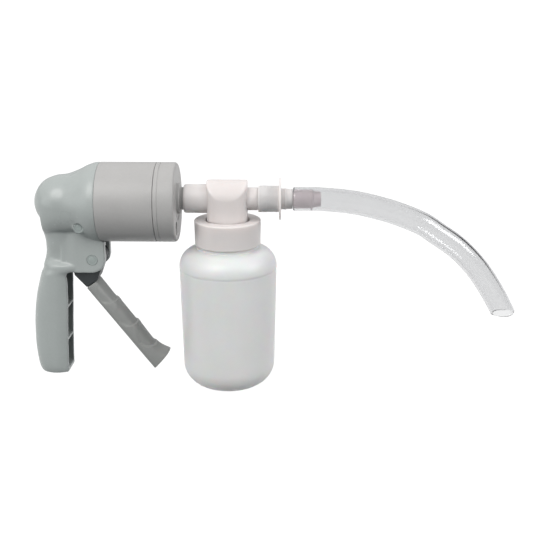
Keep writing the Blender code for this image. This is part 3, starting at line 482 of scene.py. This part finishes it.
def make_housing():
    smooth = [curve_through([(i,) + point for i, point in enumerate(DOME)], k / 4)
              for k in range(4, 4 * len(DOME) - 3)]
    profile = [DOME[0]] + [tuple(point) for point in smooth] + [(DOME[-1][0], 0.0)]
    housing = turned("housing_shell", profile, X, (0, 0, PUMP_Z), 128)
    grip = loft("grip", [grip_ring(z) for z in levels(GRIP[0][0], GRIP[-1][0])])
    bosses = [
        rod(f"boss_{side}", (SCREW.x, side * 0.011, SCREW.z), (SCREW.x, side * 0.0186, SCREW.z),
            BUTTON_R + 1.3 * MM, BUTTON_R + 0.6 * MM)
        for side in (-1, 1)
    ]
    join(housing, grip, loft("cheeks", cheek_rings()), dome_chin(), *bosses)
    remould(housing, 0.65 * MM, 5)

    inner = [(x, r - 2.3) for x, r in DOME[5:11]]
    mouth = [(-92.4, 22.8), (-87.0, 23.0), (-87.0, 24.7), (-80.0, 24.7), (-80.0, 0.0)]
    hollow = [(-127.0, 0.0)] + inner + mouth
    floors = [GRIP[0][0] + 3.0] + [z + RIB_HALF for z in RIBS]
    ceilings = [z - RIB_HALF for z in RIBS] + [101.0]
    pockets = [
        loft(f"pocket_{i}", [grip_ring(z, WALL, -70.0) for z in levels(low, high, 2.5)])
        for i, (low, high) in enumerate(zip(floors, ceilings))
    ]
    slot = block("arm_slot", (-0.1055, -SLOT_HALF * MM, 0.098), (-0.079, SLOT_HALF * MM, 0.117))
    cut(housing, turned("hollow", hollow, X, (0, 0, PUMP_Z), 96), *pockets, slot)
    remould(housing, 0.45 * MM, 2)

    cutters = [
        rod("rim", (SEAM_X - 0.15 * MM, 0, PUMP_Z), (-0.07, 0, PUMP_Z), BARREL_R + 0.3 * MM, steps=128),
        rod("pin_hole", (PIVOT.x, -0.02, PIVOT.z), (PIVOT.x, 0.02, PIVOT.z), 2.6 * MM),
    ]
    for side in (-1, 1):
        for word, hub, start, end, radius in (
            ("pin_seat", PIVOT, 0.0105, 0.016, BUTTON_R + 0.15 * MM),
            ("screw_seat", SCREW, 0.0171, 0.03, BUTTON_R + 0.15 * MM),
            ("screw_hole", SCREW, 0.008, 0.02, 1.7 * MM),
        ):
            near, far = (hub.x, side * start, hub.z), (hub.x, side * end, hub.z)
            cutters.append(rod(f"{word}_{side}", near, far, radius))
    cut(housing, *cutters)
    stands_for(housing, "housing", "handle_housing")


def make_fasteners():
    """Plugs over the screw heads and the pivot pin: a round button with a shallow ring pressed into it."""
    head = [(1.2, 0.0), (1.2, 1.9), (1.02, 2.15, 0.1), (1.02, 2.45, 0.1), (1.2, 2.7, 0.1), (1.2, 3.6, 0.35),
            (-0.3, 3.6)]
    outline = head + [(-0.3, 1.4), (-8.4, 1.4, 0.2), (-8.4, 0.0)]
    for side, word in ((-1, "left"), (1, "right")):
        low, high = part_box(f"housing_screw_{word}")
        face = max(abs(low.y), abs(high.y)) - 1.7 * MM
        screw = turned(f"screw_plug_{word}", outline, side * Y, (SCREW.x, side * face, SCREW.z), 64)
        stands_for(screw, "fastener_cap", f"housing_screw_{word}")
    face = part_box("pivot_pin")[0].y
    outline = [(0.0, 0.0), (0.0, 2.2), (-0.1, 2.4, 0.08), (-0.1, 2.6, 0.08), (0.0, 2.8), (0.0, 3.6, 0.25),
               (-1.1, 3.6), (-1.1, 2.3), (-22.3, 2.3, 0.3), (-22.3, 0.0)]
    pin = turned("pivot_pin_turned", outline, -Y, (PIVOT.x, face, PIVOT.z), 64)
    stands_for(pin, "steel", "pivot_pin")
    pin.data.materials.append(LOOKS["fastener_cap"])
    for face_of_pin in pin.data.polygons:
        if face_of_pin.center.y < face + 0.7 * MM:
            face_of_pin.material_index = 1
    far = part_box("pivot_pin_cap")[1].y
    button = outline[:6] + [(-1.1, 3.6, 0.1), (-1.1, 0.0)]
    cap = turned("pivot_pin_button", button, Y, (PIVOT.x, far, PIVOT.z), 64)
    stands_for(cap, "fastener_cap", "pivot_pin_cap")


# ---------------------------------------------------------------- barrel and front cap

def make_barrel():
    rear, front = BARREL_LOW.x / MM, BARREL_HIGH.x / MM
    radius = BARREL_R / MM
    outline = [(front, 24.7), (front, radius, 0.3), (rear, radius, 0.3), (rear, 24.7)]
    barrel = turned("barrel_tube", outline, X, (0, 0, PUMP_Z), 160)
    notch = block("notch", (-0.09, -SLOT_HALF * MM, 0.1), (-0.079, SLOT_HALF * MM, 0.112))
    cut(barrel, notch)
    stands_for(barrel, "barrel", "barrel")


def make_front_cap():
    rear = CAP_REAR_X / MM
    face = rear + 13.25
    radius = BARREL_R / MM
    outline = [
        (face, 0.0), (face, 10.6), (face - 0.35, 11.0, 0.2), (face - 0.35, 11.8, 0.2), (face, 12.2, 0.2),
        (face, radius, 2.2),
        (rear + 3.1, radius, 0.15), (rear + 2.9, radius - 0.28, 0.1), (rear + 2.6, radius - 0.28, 0.1),
        (rear + 2.4, radius, 0.15), (rear, radius, 0.3), (rear, 24.6), (-39.0, 24.6), (-39.0, 0.0),
    ]
    cap = turned("front_cap_moulding", outline, X, (0, 0, PUMP_Z), 160)
    port = [(-15.5, 0.0), (-15.5, 7.3, 0.5), (-29.3, 7.55), (-31.3, 7.6, 0.5), (-31.3, 10.15, 0.5),
            (-33.6, 10.15, 0.4), (-34.4, 11.2), (-36.0, 11.2), (-36.0, 0.0)]
    bore = rod("bore", (-0.045, 0, PORT_Z), (-0.010, 0, PORT_Z), 5.0 * MM)
    low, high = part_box("exhaust_cover")
    vent = (low + high) / 2
    radius = (high.y - low.y) / 2
    pocket = rod("vent_pocket", (-0.0369, vent.y, vent.z), (-0.03, vent.y, vent.z), radius + 0.3 * MM)
    hole = rod("vent_hole", (-0.045, vent.y, vent.z), (-0.034, vent.y, vent.z), 2.2 * MM)
    join(cap, turned("port", port, X, (0, 0, PORT_Z), 96))
    cut(cap, bore, pocket, hole)
    stands_for(cap, "barrel", "front_cap")

    front, back, rim = high.x / MM, low.x / MM, radius / MM
    cover = turned(
        "exhaust_grille", [(front, 0.0), (front, rim, 0.25), (back, rim, 0.1), (back, 0.0)],
        X, (0, vent.y, vent.z), 64,
    )
    for i in (-1, 0, 1):
        middle = vent.z + i * 2.1 * MM
        low_corner = (-0.036, vent.y - 2.6 * MM, middle - 0.5 * MM)
        high_corner = (-0.033, vent.y + 2.6 * MM, middle + 0.5 * MM)
        cut(cover, block(f"slot_{i}", low_corner, high_corner))
    stands_for(cover, "barrel", "exhaust_cover")


def make_spring():
    """The return spring: an open helix of even pitch, its wire capped at both ends."""
    low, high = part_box("return_spring")
    radius = (high.y - low.y) / 2 - 0.8 * MM
    turns, wire, around = 6.5, 0.8 * MM, 12
    count = 260
    bm = bmesh.new()
    rows = []
    for i in range(count + 1):
        share = i / count
        angle = 2 * math.pi * turns * share
        x = low.x + wire + (high.x - low.x - 2 * wire) * share
        centre = Vector((x, radius * math.cos(angle), PUMP_Z + radius * math.sin(angle)))
        out = Vector((0, math.cos(angle), math.sin(angle)))
        rows.append([
            bm.verts.new(centre + wire * (out * math.cos(t) + X * math.sin(t)))
            for t in (2 * math.pi * k / around for k in range(around))
        ])
    for a, b in zip(rows, rows[1:]):
        for k in range(around):
            j = (k + 1) % around
            bm.faces.new((a[k], a[j], b[j], b[k]))
    bm.faces.new(rows[0])
    bm.faces.new(rows[-1])
    spring = piece_of("return_coil", bm)
    stands_for(spring, "steel", "return_spring")
    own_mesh(spring)


# ---------------------------------------------------------------- trigger and lever

TRIGGER_BACK = -17.0
TRIGGER_FRONT = [                  # distance below the pivot, front face ahead of the pivot
    (13.5, -8.3), (18.0, -7.9), (33.0, -7.5), (54.5, -6.8), (72.0, -6.6), (77.5, -5.7), (81.5, -3.8),
    (84.5, -1.9),
]
TRIGGER_SECTION = [                # from back to front, as shares of the depth and the half width
    (0.0, 0.0), (0.0, 0.80), (0.05, 0.93), (0.15, 0.99), (0.28, 1.0), (0.42, 0.99), (0.64, 0.92),
    (0.83, 0.74), (0.95, 0.45), (1.0, 0.14), (1.0, 0.0),
]
TRIGGER_SCREWS = {"upper": 25.0, "lower": 53.0}
TRIGGER_HALF = 9.5
GROOVES = [(24.0, 9.2, 9.4), (44.6, 10.0, 9.1), (65.3, 9.6, 7.9)]   # middle, half length, reach to the side
GROOVE_DEPTH = 0.95
TOE_SLOPE = 0.19


def trigger_section(count=40):
    """Half of the grip's section as (depth share, width share), evenly spread from the back to the front."""
    table = [(i,) + point for i, point in enumerate(TRIGGER_SECTION)]
    fine = [Vector(curve_through(table, i / 20)) for i in range(20 * (len(table) - 1) + 1)]
    fine = [Vector((min(1.0, max(0.0, p.x)), min(1.0, max(0.0, p.y)))) for p in fine]
    lengths = [0.0]
    for a, b in zip(fine, fine[1:]):
        lengths.append(lengths[-1] + (b - a).length)
    picked = []
    for k in range(count + 1):
        target = lengths[-1] * k / count
        at = min(range(len(fine)), key=lambda i: abs(lengths[i] - target))
        picked.append(fine[at])
    return picked


def groove_at(down, side):
    """How far the finger grooves sink the surface, side millimetres round from the front's middle."""
    depth = 0.0
    for middle, half, reach in GROOVES:
        v = (down - middle) / half
        w = side / reach
        distance = math.hypot(v, w)
        if distance < 1.0:
            sharp = 0.93 if v > 0 else 0.80
            edge = 1.0 - smoothstep(sharp, 1.0, distance)
            grow = 0.35 + 0.65 * smoothstep(-0.9, 0.7, v)
            depth = max(depth, GROOVE_DEPTH * grow * edge)
    return depth


def trigger_ring(down, section, inset=0.0):
    front = curve_through(TRIGGER_FRONT, down)[0]
    slope = TOE_SLOPE * smoothstep(77.0, 84.5, down)
    across = front - TRIGGER_BACK
    ring = []
    outline = [(p.x, -p.y) for p in section] + [(p.x, p.y) for p in reversed(section[1:-1])]
    middle = TRIGGER_BACK + across * 0.5
    for depth, width in outline:
        x = TRIGGER_BACK + across * depth
        y = TRIGGER_HALF * width
        side = math.hypot(front - x, 0.45 * abs(y))
        inward = Vector((middle - x, -y)).normalized()
        sink = groove_at(down, side) * smoothstep(0.12, 0.35, depth) + inset
        x += inward.x * sink
        y += inward.y * sink
        ring.append(Vector((x, y, -down - slope * (front - x))) * MM)
    return ring


def hang(piece, lean=-TRIGGER_LEAN):
    """Leans a piece that was built straight down from the pivot."""
    piece.data.transform(Matrix.Translation(PIVOT) @ Matrix.Rotation(lean, 4, "Y"))
    return piece


def make_trigger():
    section = trigger_section()
    downs = levels(14.0, 84.0, 0.4)
    rings = [trigger_ring(13.5, section, 0.45), trigger_ring(13.65, section, 0.15)]
    rings += [trigger_ring(down, section) for down in downs]
    rings += [trigger_ring(84.35, section, 0.15), trigger_ring(84.5, section, 0.45)]
    grip = hang(loft("trigger_moulding", rings))
    socket = hang(block("socket", (-0.0139, -0.0053, -0.062), (-0.0092, 0.0053, -0.010)))
    cutters = [socket]
    for word, down in TRIGGER_SCREWS.items():
        outline = [(-15, 0), (-15, 2.7), (-16.1, 2.7), (-16.8, 3.3), (-18.4, 3.3), (-18.4, 0)]
        seat = turned(f"{word}_seat", outline, X, (0, 0, -down * MM), 48)
        hole = rod(f"{word}_hole", (-0.0164, 0, -down * MM), (-0.0093, 0, -down * MM), 1.5 * MM, steps=32)
        cutters += [hang(seat), hang(hole)]
    cut(grip, *cutters)
    stands_for(grip, "trigger", "trigger_grip")

    for word, down in TRIGGER_SCREWS.items():
        outline = [(-16.1, 0), (-16.05, 1.4), (-15.8, 2.4, 0.3), (-15.3, 2.4), (-15.3, 1.2), (-9.9, 1.2, 0.2),
                   (-9.9, 0)]
        screw = turned(f"trigger_screw_{word}_turned", outline, X, (0, 0, -down * MM), 48)
        recess = block("recess_a", (-0.0174, -0.0003, -0.0014), (-0.0153, 0.0003, 0.0014))
        across = block("recess_b", (-0.0174, -0.0014, -0.0003), (-0.0153, 0.0014, 0.0003))
        for part in (recess, across):
            part.data.transform(Matrix.Translation((0, 0, -down * MM)))
        cut(screw, recess, across)
        stands_for(hang(screw), "steel", f"trigger_screw_{word}")


def make_lever():
    knuckle = (
        [(-16.8, -13.2), (-18.0, -1.5), (-16.0, 3.0), (-9.2, 7.0)]
        + arc((0.0, 0.0), 8.0, 118, -28, 24)
        + [(-7.4, -13.2)]
    )
    lever = hang(plate("lever_moulding", [(x * MM, z * MM) for x, z in knuckle], 8.4 * MM, 0.7 * MM))
    tongue = hang(block("tongue", (-0.0136, -0.005, -0.0617), (-0.0095, 0.005, -0.012), 0.4 * MM))
    slot_low, tip = 37.2, 45.0
    outline = (
        [(-5.3, 0.0), (5.3, 0.0), (5.3, tip - 1.5), (3.9, tip), (2.75, tip)]
        + arc((0.0, slot_low), 2.75, 0, -180, 20)
        + [(-2.75, tip), (-3.9, tip), (-5.3, tip - 1.5)]
    )
    arm = hang(plate("arm", [(x * MM, z * MM) for x, z in outline], 3.5 * MM, 0.4 * MM), ARM_LEAN)
    join(lever, tongue, arm)
    cutters = [hang(rod("bore", (0, -0.012, 0), (0, 0.012, 0), 4.3 * MM))]
    for word, down in TRIGGER_SCREWS.items():
        hole = rod(f"{word}_tap", (-0.0164, 0, -down * MM), (-0.0093, 0, -down * MM), 1.5 * MM)
        cutters.append(hang(hole))
    cut(lever, *cutters)
    # The near-black look is painted shade for the pocket inside the trigger, where the lever shows.
    stands_for(lever, "lever", "trigger_lever")


# ---------------------------------------------------------------- tee, screw cap, bottle and float

TEE_R = 13.6
FLANGE_LOW, FLANGE_HIGH = 110.2, 112.2
FLOAT_X = -6.0
SPOUT_X = 7.2


def tee_section(z, steps=160):
    """Level section of the tee's body: round in the screw cap, and squarer where the arms leave it."""
    power = 2.0 + 1.6 * smoothstep(115.0, 121.0, z)
    ring = []
    for i in range(steps):
        angle = 2 * math.pi * i / steps
        across, along = math.cos(angle), math.sin(angle)
        reach = TEE_R / (abs(across) ** power + abs(along) ** power) ** (1.0 / power)
        ring.append(Vector((reach * across, reach * along, z)) * MM)
    return ring


def make_tee():
    radius = TEE_R + 0.15
    roof_z = PORT_Z / MM - 1.0
    body = loft("tee_moulding", [tee_section(z) for z in [111.7] + levels(115.0, 121.0, 0.5) + [150.0]])
    roof = [(y * MM, z * MM) for y, z in
            [(-radius, 100.0), (radius, 100.0)] + arc((0.0, roof_z), radius, 0, 180, 48)]
    vault = plate("roof", roof, 0.03)
    vault.data.transform(Matrix.Rotation(math.pi / 2, 4, "Z"))
    combine(body, "INTERSECT", [vault])
    remould(body, 0.4 * MM, 8)
    outline = [(-8, 0), (-8, 9.65), (-27.2, 9.65, 0.4), (-28.6, 9.35, 0.6), (-29, 8.3, 0.3), (-29, 0)]
    arm = turned("arm", outline, X, (0, 0, PORT_Z), 96)
    outline = [(33, 0), (33, 7.2, 0.5), (20.7, 7.5), (20.2, 7.65, 0.3), (8, 7.65), (8, 0)]
    spigot = turned("spigot", outline, X, (0, 0, PORT_Z), 96)
    flange = turned("flange", [(FLANGE_HIGH, 0), (FLANGE_HIGH, 19.5, 0.4), (FLANGE_LOW, 19.5, 0.3),
                               (FLANGE_LOW, 14.6), (106, 14.6, 0.4), (106, 0)])
    stub = rod("stub", (FLOAT_X * MM, 0, 0.1028), (FLOAT_X * MM, 0, 0.108), 4.9 * MM)
    outline = [(90, 0), (90, 4.7, 0.5), (108, 4.7), (108, 0)]
    spout = turned("spout", outline, at=(SPOUT_X * MM, 0, 0), steps=64)
    join(body, arm, spigot, flange, stub, spout)
    socket = turned("socket", [(-31, 0), (-31, 8.5), (-29.2, 8.4), (-28.4, 7.9, 0.3), (-14, 7.65), (-14, 0)],
                    X, (0, 0, PORT_Z), 96)
    top = PORT_Z - 1.3 * MM
    cut(
        body,
        rod("float_bore", (FLOAT_X * MM, 0, 0.1), (FLOAT_X * MM, 0, top), 3.2 * MM),
        rod("spout_bore", (SPOUT_X * MM, 0, 0.088), (SPOUT_X * MM, 0, top), 3.5 * MM),
        rod("suction", (-0.02, 0, PORT_Z), (-0.002, 0, PORT_Z), 4.6 * MM),
        rod("patient", (0.003, 0, PORT_Z), (0.036, 0, PORT_Z), 5.0 * MM),
        socket,
    )
    stands_for(body, "white_plastic", "tee_adapter")


def make_screw_cap():
    outline = [(118.1, 15.2, 0.7), (118.1, 22.5, 1.0), (101.6, 22.3, 0.6), (100.9, 21.6, 0.5),
               (100.9, 20.2, 0.3), (112.5, 20.2, 0.3), (112.5, 13.95, 0.2), (116.0, 13.95, 0.5)]
    stands_for(turned("screw_cap", outline, steps=160), "white_plastic", "bottle_cap")


def bottle_outline():
    radius, foot = 33.3, 31.9
    base, wall = 16.0, 1.4
    shoulder_z, rise, neck_foot = 86.0, 12.4, 21.3

    def shoulder(inset, count=18):
        steps = [math.pi / 2 * (1 - i / count) for i in range(count + 1)]
        return [(shoulder_z + (rise - inset) * math.sin(a),
                 neck_foot + (radius - neck_foot - inset) * math.cos(a)) for a in steps]

    def heel(inset, count=12):
        return [(base - (base - inset) * math.sin(math.pi / 2 * i / count),
                 foot - base + (base - inset) * math.cos(math.pi / 2 * i / count)) for i in range(count + 1)]

    bead = [(85.2, radius), (84.7, radius - 0.3), (83.9, radius - 0.38), (82.6, radius - 0.12)]
    neck = [(109.0, 19.7, 0.4), (100.7, 19.7, 0.3), (100.5, 20.9, 0.4), (98.9, 20.9, 0.5)]
    outside = neck + shoulder(0.0) + bead + heel(0.0)
    outside += [(0.0, 13.6, 0.5), (1.0, 11.6, 0.8), (1.0, 0.0)]
    inside = [(wall + 1.0, 0.0), (wall + 1.0, 11.6, 0.8), (wall, 14.0, 0.8)] + heel(wall)[::-1]
    inside += shoulder(wall)[::-1] + [(97.8, 17.2, 0.8), (109.0, 17.2, 0.4)]
    return outside + inside


def make_bottle():
    bottle = turned("bottle_blown", bottle_outline(), steps=160)
    stands_for(bottle, "milky_plastic", "bottle")


def make_float():
    cage = [(105.6, 5.2, 0.2), (105.6, 7.4, 0.5), (87.0, 7.4, 0.5), (87.0, 2.5, 0.3), (88.2, 2.5, 0.3),
            (88.2, 6.2, 0.3), (102.4, 6.2), (102.4, 5.2, 0.2)]
    piece = turned("float_basket", cage, at=(FLOAT_X * MM, 0, 0), steps=96)
    middle, half, through = Vector((FLOAT_X * MM, 0.0, 0.09575)), 0.002, 0.012
    for word, reach_x, reach_y in (("x", through, half), ("y", half, through)):
        reach = Vector((reach_x, reach_y, 0.00475))
        cut(piece, block(f"window_{word}", middle - reach, middle + reach))
    stands_for(piece, "acetal", "float_cage")
    low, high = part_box("float_ball")
    radius = (high.z - low.z) / 2 / MM
    profile = [(radius * math.sin(a), radius * math.cos(a)) for a in
               (math.radians(-90 + 180 * i / 48) for i in range(49))]
    profile[0], profile[-1] = (-radius, 0.0), (radius, 0.0)
    seam = [(along, around + (0.06 if abs(along) < 0.2 else 0.0)) for along, around in profile]
    ball = turned("float_ball_moulded", seam, at=(low + high) / 2, steps=64)
    stands_for(ball, "float", "float_ball")


# ---------------------------------------------------------------- catheter

TUBE_R, TUBE_WALL = 7.85, 1.4
TUBE_ROUTE = [(44.2, 132.2), (53.0, 132.2), (63.0, 132.1), (85.3, 129.9), (108.6, 124.3), (129.6, 116.3),
              (140.8, 109.3), (155.3, 99.2), (168.2, 86.5), (178.0, 73.3), (186.0, 60.3), (193.2, 46.5)]
TIP_CENTRE = Vector((189.6, 0.0, 52.2)) * MM
TIP_FACE = math.radians(4.0)       # the oblique end face is this far from level


def smooth_route(points, per_span=24):
    """A Catmull-Rom curve through the points."""
    ends = [2 * points[0] - points[1]] + points + [2 * points[-1] - points[-2]]
    route = []
    for a, b, c, d in zip(ends, ends[1:], ends[2:], ends[3:]):
        for i in range(per_span):
            t = i / per_span
            route.append(0.5 * ((2 * b) + (c - a) * t + (2 * a - 5 * b + 4 * c - d) * t ** 2
                                + (3 * b - a - 3 * c + d) * t ** 3))
    return route + [points[-1]]


def make_catheter():
    """The tube's wall, swept along its bend and cut off at a slant, with rounded lips at both ends."""
    fine = smooth_route([Vector((x, 0.0, z)) * MM for x, z in TUBE_ROUTE])
    route = [fine[0]]
    for point in fine[1:]:
        if (point - route[-1]).length > 0.6 * MM:
            route.append(point)
    normal = Vector((math.sin(TIP_FACE), 0.0, -math.cos(TIP_FACE)))
    around = 120
    outer, inner = TUBE_R * MM, (TUBE_R - TUBE_WALL) * MM

    def ring(i, radius, back=0.0):
        """A ring of the wall, slid back along the tube to the end face where it passes it."""
        along = (route[min(i + 1, len(route) - 1)] - route[max(i - 1, 0)]).normalized()
        up = along.cross(Y)
        points = []
        for k in range(around):
            angle = 2 * math.pi * k / around
            point = route[i] + radius * (Y * math.cos(angle) + up * math.sin(angle))
            beyond = (point - TIP_CENTRE).dot(normal) / along.dot(normal)
            points.append(point - along * max(0.0, beyond + back))
        return points

    def short_of_tip(i):
        along = (route[i] - route[i - 1]).normalized()
        return (route[i] - TIP_CENTRE).dot(normal) / along.dot(normal) < -(outer * 1.1)

    last = max(i for i in range(1, len(route)) if short_of_tip(i))
    wall = [(i, outer) for i in range(last + 1)]
    lip = 0.35 * MM
    rows = [ring(0, outer - lip)]
    rows += [ring(i, radius) for i, radius in wall[1:]]
    end = min(last + 16, len(route) - 1)
    rows += [ring(end, outer, lip), ring(end, outer - 0.3 * lip, 0.3 * lip), ring(end, outer - lip)]
    rows += [ring(end, inner + lip), ring(end, inner + 0.3 * lip, 0.3 * lip), ring(end, inner, lip)]
    rows += [ring(i, inner) for i in range(last, 0, -1)]
    rows += [ring(0, inner + lip)]
    bm = bmesh.new()
    verts = [[bm.verts.new(point) for point in row] for row in rows]
    for low, high in zip(verts, verts[1:] + verts[:1]):
        for k in range(around):
            j = (k + 1) % around
            bm.faces.new((low[k], low[j], high[j], high[k]))
    stands_for(piece_of("catheter_tube", bm), "clear_tube", "suction_catheter")


def make_connector():
    outline = [(20.9, 8.0, 0.1), (20.9, 8.85, 0.45), (26.4, 8.9), (26.8, 8.75, 0.2), (34.8, 8.85, 0.3),
               (34.8, 13.95, 0.5), (36.1, 13.95, 0.5), (36.1, 7.05, 0.5), (38.4, 6.95), (38.6, 7.15, 0.1),
               (39.2, 7.1, 0.1), (39.4, 6.85), (43.9, 6.6, 0.4), (43.9, 5.2, 0.2), (33.6, 5.2), (33.6, 7.75)]
    connector = turned("taper_connector", outline, X, (0, 0, PORT_Z), 128)
    stands_for(connector, "white_plastic", "catheter_connector")
    outline = [(62.7, 3.5, 0.2), (62.7, 4.6, 0.4), (61.3, 5.1), (57.6, 5.6, 0.4), (57.0, 6.4, 0.3),
               (44.3, 6.45, 0.2), (44.3, 4.9), (34.0, 4.9, 0.2), (34.0, 3.5, 0.2)]
    reducer = turned("stepped_reducer", outline, X, (0, 0, PORT_Z), 96)
    stands_for(reducer, "reducer", "catheter_reducer")


# ---------------------------------------------------------------- the CAD nodes that stay

INSIDE = {
    "acetal": ("cylinder_liner", "cylinder_rear_ring", "valve_keeper", "piston", "piston_rod", "pivot_bush"),
    "black_rubber": ("front_cap_o_ring", "piston_seal"),
    "silicone": ("inlet_valve_disc", "exhaust_valve_disc", "bottle_gasket"),
    "steel": ("cross_pin", "rod_screw"),
}


def dress_inside():
    for look, nodes in INSIDE.items():
        for node in nodes:
            materials = frame["nodes"][node].data.materials
            materials.clear()
            materials.append(LOOKS[look])


# ---------------------------------------------------------------- floor, light and camera

def make_backdrop():
    """A pale floor and walls, which shine a little so that they stay even."""
    bm = bmesh.new()
    bmesh.ops.create_grid(bm, x_segments=2, y_segments=2, size=15.0)
    floor = piece_of("floor", bm)
    for face in floor.data.polygons:
        if face.normal.z < 0:
            floor.data.flip_normals()
            break
    material = bpy.data.materials.new("studio_floor")
    material.use_nodes = True
    shader = material.node_tree.nodes["Principled BSDF"]
    shader.inputs["Base Color"].default_value = (0.08, 0.08, 0.08, 1.0)
    shader.inputs["Specular IOR Level"].default_value = 0.0
    shader.inputs["Roughness"].default_value = 1.0
    shader.inputs["Emission Color"].default_value = (1.0, 1.0, 1.0, 1.0)
    shader.inputs["Emission Strength"].default_value = 1.0
    walls = piece_of("backdrop", bmesh.new())
    bm = bmesh.new()
    bmesh.ops.create_uvsphere(bm, u_segments=48, v_segments=24, radius=14.0)
    bmesh.ops.reverse_faces(bm, faces=bm.faces)
    bm.to_mesh(walls.data)
    bm.free()
    for item in (floor, walls):
        item.data.materials.append(material)
        item.visible_diffuse = False
    walls.visible_shadow = False
    walls.visible_glossy = False


def make_flag():
    """A black card behind the tube's right, out of view, whose reflection darkens the tube's outer edge."""
    flag = bpy.data.materials.new("black_flag")
    flag.use_nodes = True
    flag.node_tree.nodes["Principled BSDF"].inputs["Base Color"].default_value = (0.01, 0.01, 0.015, 1.0)
    card = block("flag", (0.44, 0.50, 0.14), (1.3, 0.51, 0.62))
    card.data.materials.append(flag)
    card.visible_camera = False
    card.visible_diffuse = False
    card.visible_shadow = False


def make_sky():
    """Soft light from all round, dim low down and brighter above."""
    world = bpy.data.worlds.new("studio")
    bpy.context.scene.world = world
    world.use_nodes = True
    nodes, links = world.node_tree.nodes, world.node_tree.links
    place = nodes.new("ShaderNodeTexCoord")
    parts = nodes.new("ShaderNodeSeparateXYZ")
    ramp = nodes.new("ShaderNodeValToRGB")
    height = nodes.new("ShaderNodeMapRange")
    height.inputs[1].default_value = -1.0
    links.new(place.outputs["Generated"], parts.inputs[0])
    links.new(parts.outputs["Z"], height.inputs[0])
    links.new(height.outputs[0], ramp.inputs["Fac"])
    stops = ramp.color_ramp.elements
    stops[0].position, stops[0].color = 0.42, (0.125, 0.14, 0.145, 1.0)
    stops[1].position, stops[1].color = 0.70, (0.82, 0.82, 0.82, 1.0)
    links.new(ramp.outputs["Color"], nodes["Background"].inputs["Color"])
    nodes["Background"].inputs["Strength"].default_value = 1.0


def make_light(name, place, aim, size, power, color):
    data = bpy.data.lights.new(name, "AREA")
    data.shape = "DISK"
    data.size = size
    data.energy = power
    data.color = color
    light = bpy.data.objects.new(name, data)
    light.location = place
    light.rotation_euler = (Vector(aim) - Vector(place)).to_track_quat("-Z", "Y").to_euler()
    bpy.context.scene.collection.objects.link(light)


def make_camera():
    data = bpy.data.cameras.new("camera")
    data.sensor_width = 36.0
    data.lens = 57.4
    camera = bpy.data.objects.new("camera", data)
    camera.location = (0.0385, -0.5575, 0.2553)
    camera.rotation_euler = (math.radians(73.0), 0.0, math.radians(1.25))
    bpy.context.scene.collection.objects.link(camera)
    bpy.context.scene.camera = camera


bpy.context.scene.view_settings.view_transform = "Standard"
make_backdrop()
make_flag()
make_sky()
make_light("key", (-0.60, -0.75, 0.95), (-0.04, 0, 0.10), 0.8, 8.9, (1.0, 0.985, 0.97))
make_light("left", (-0.70, -0.35, 0.22), (-0.11, 0, 0.12), 0.35, 0.6, (0.98, 1.0, 1.0))
make_light("right", (0.75, -0.30, 0.55), (-0.02, 0, 0.12), 0.4, 3.2, (1.0, 1.0, 1.0))
make_camera()
make_housing()
make_fasteners()
make_barrel()
make_front_cap()
make_spring()
make_trigger()
make_lever()
make_tee()
make_screw_cap()
make_bottle()
make_float()
make_connector()
make_catheter()
dress_inside()
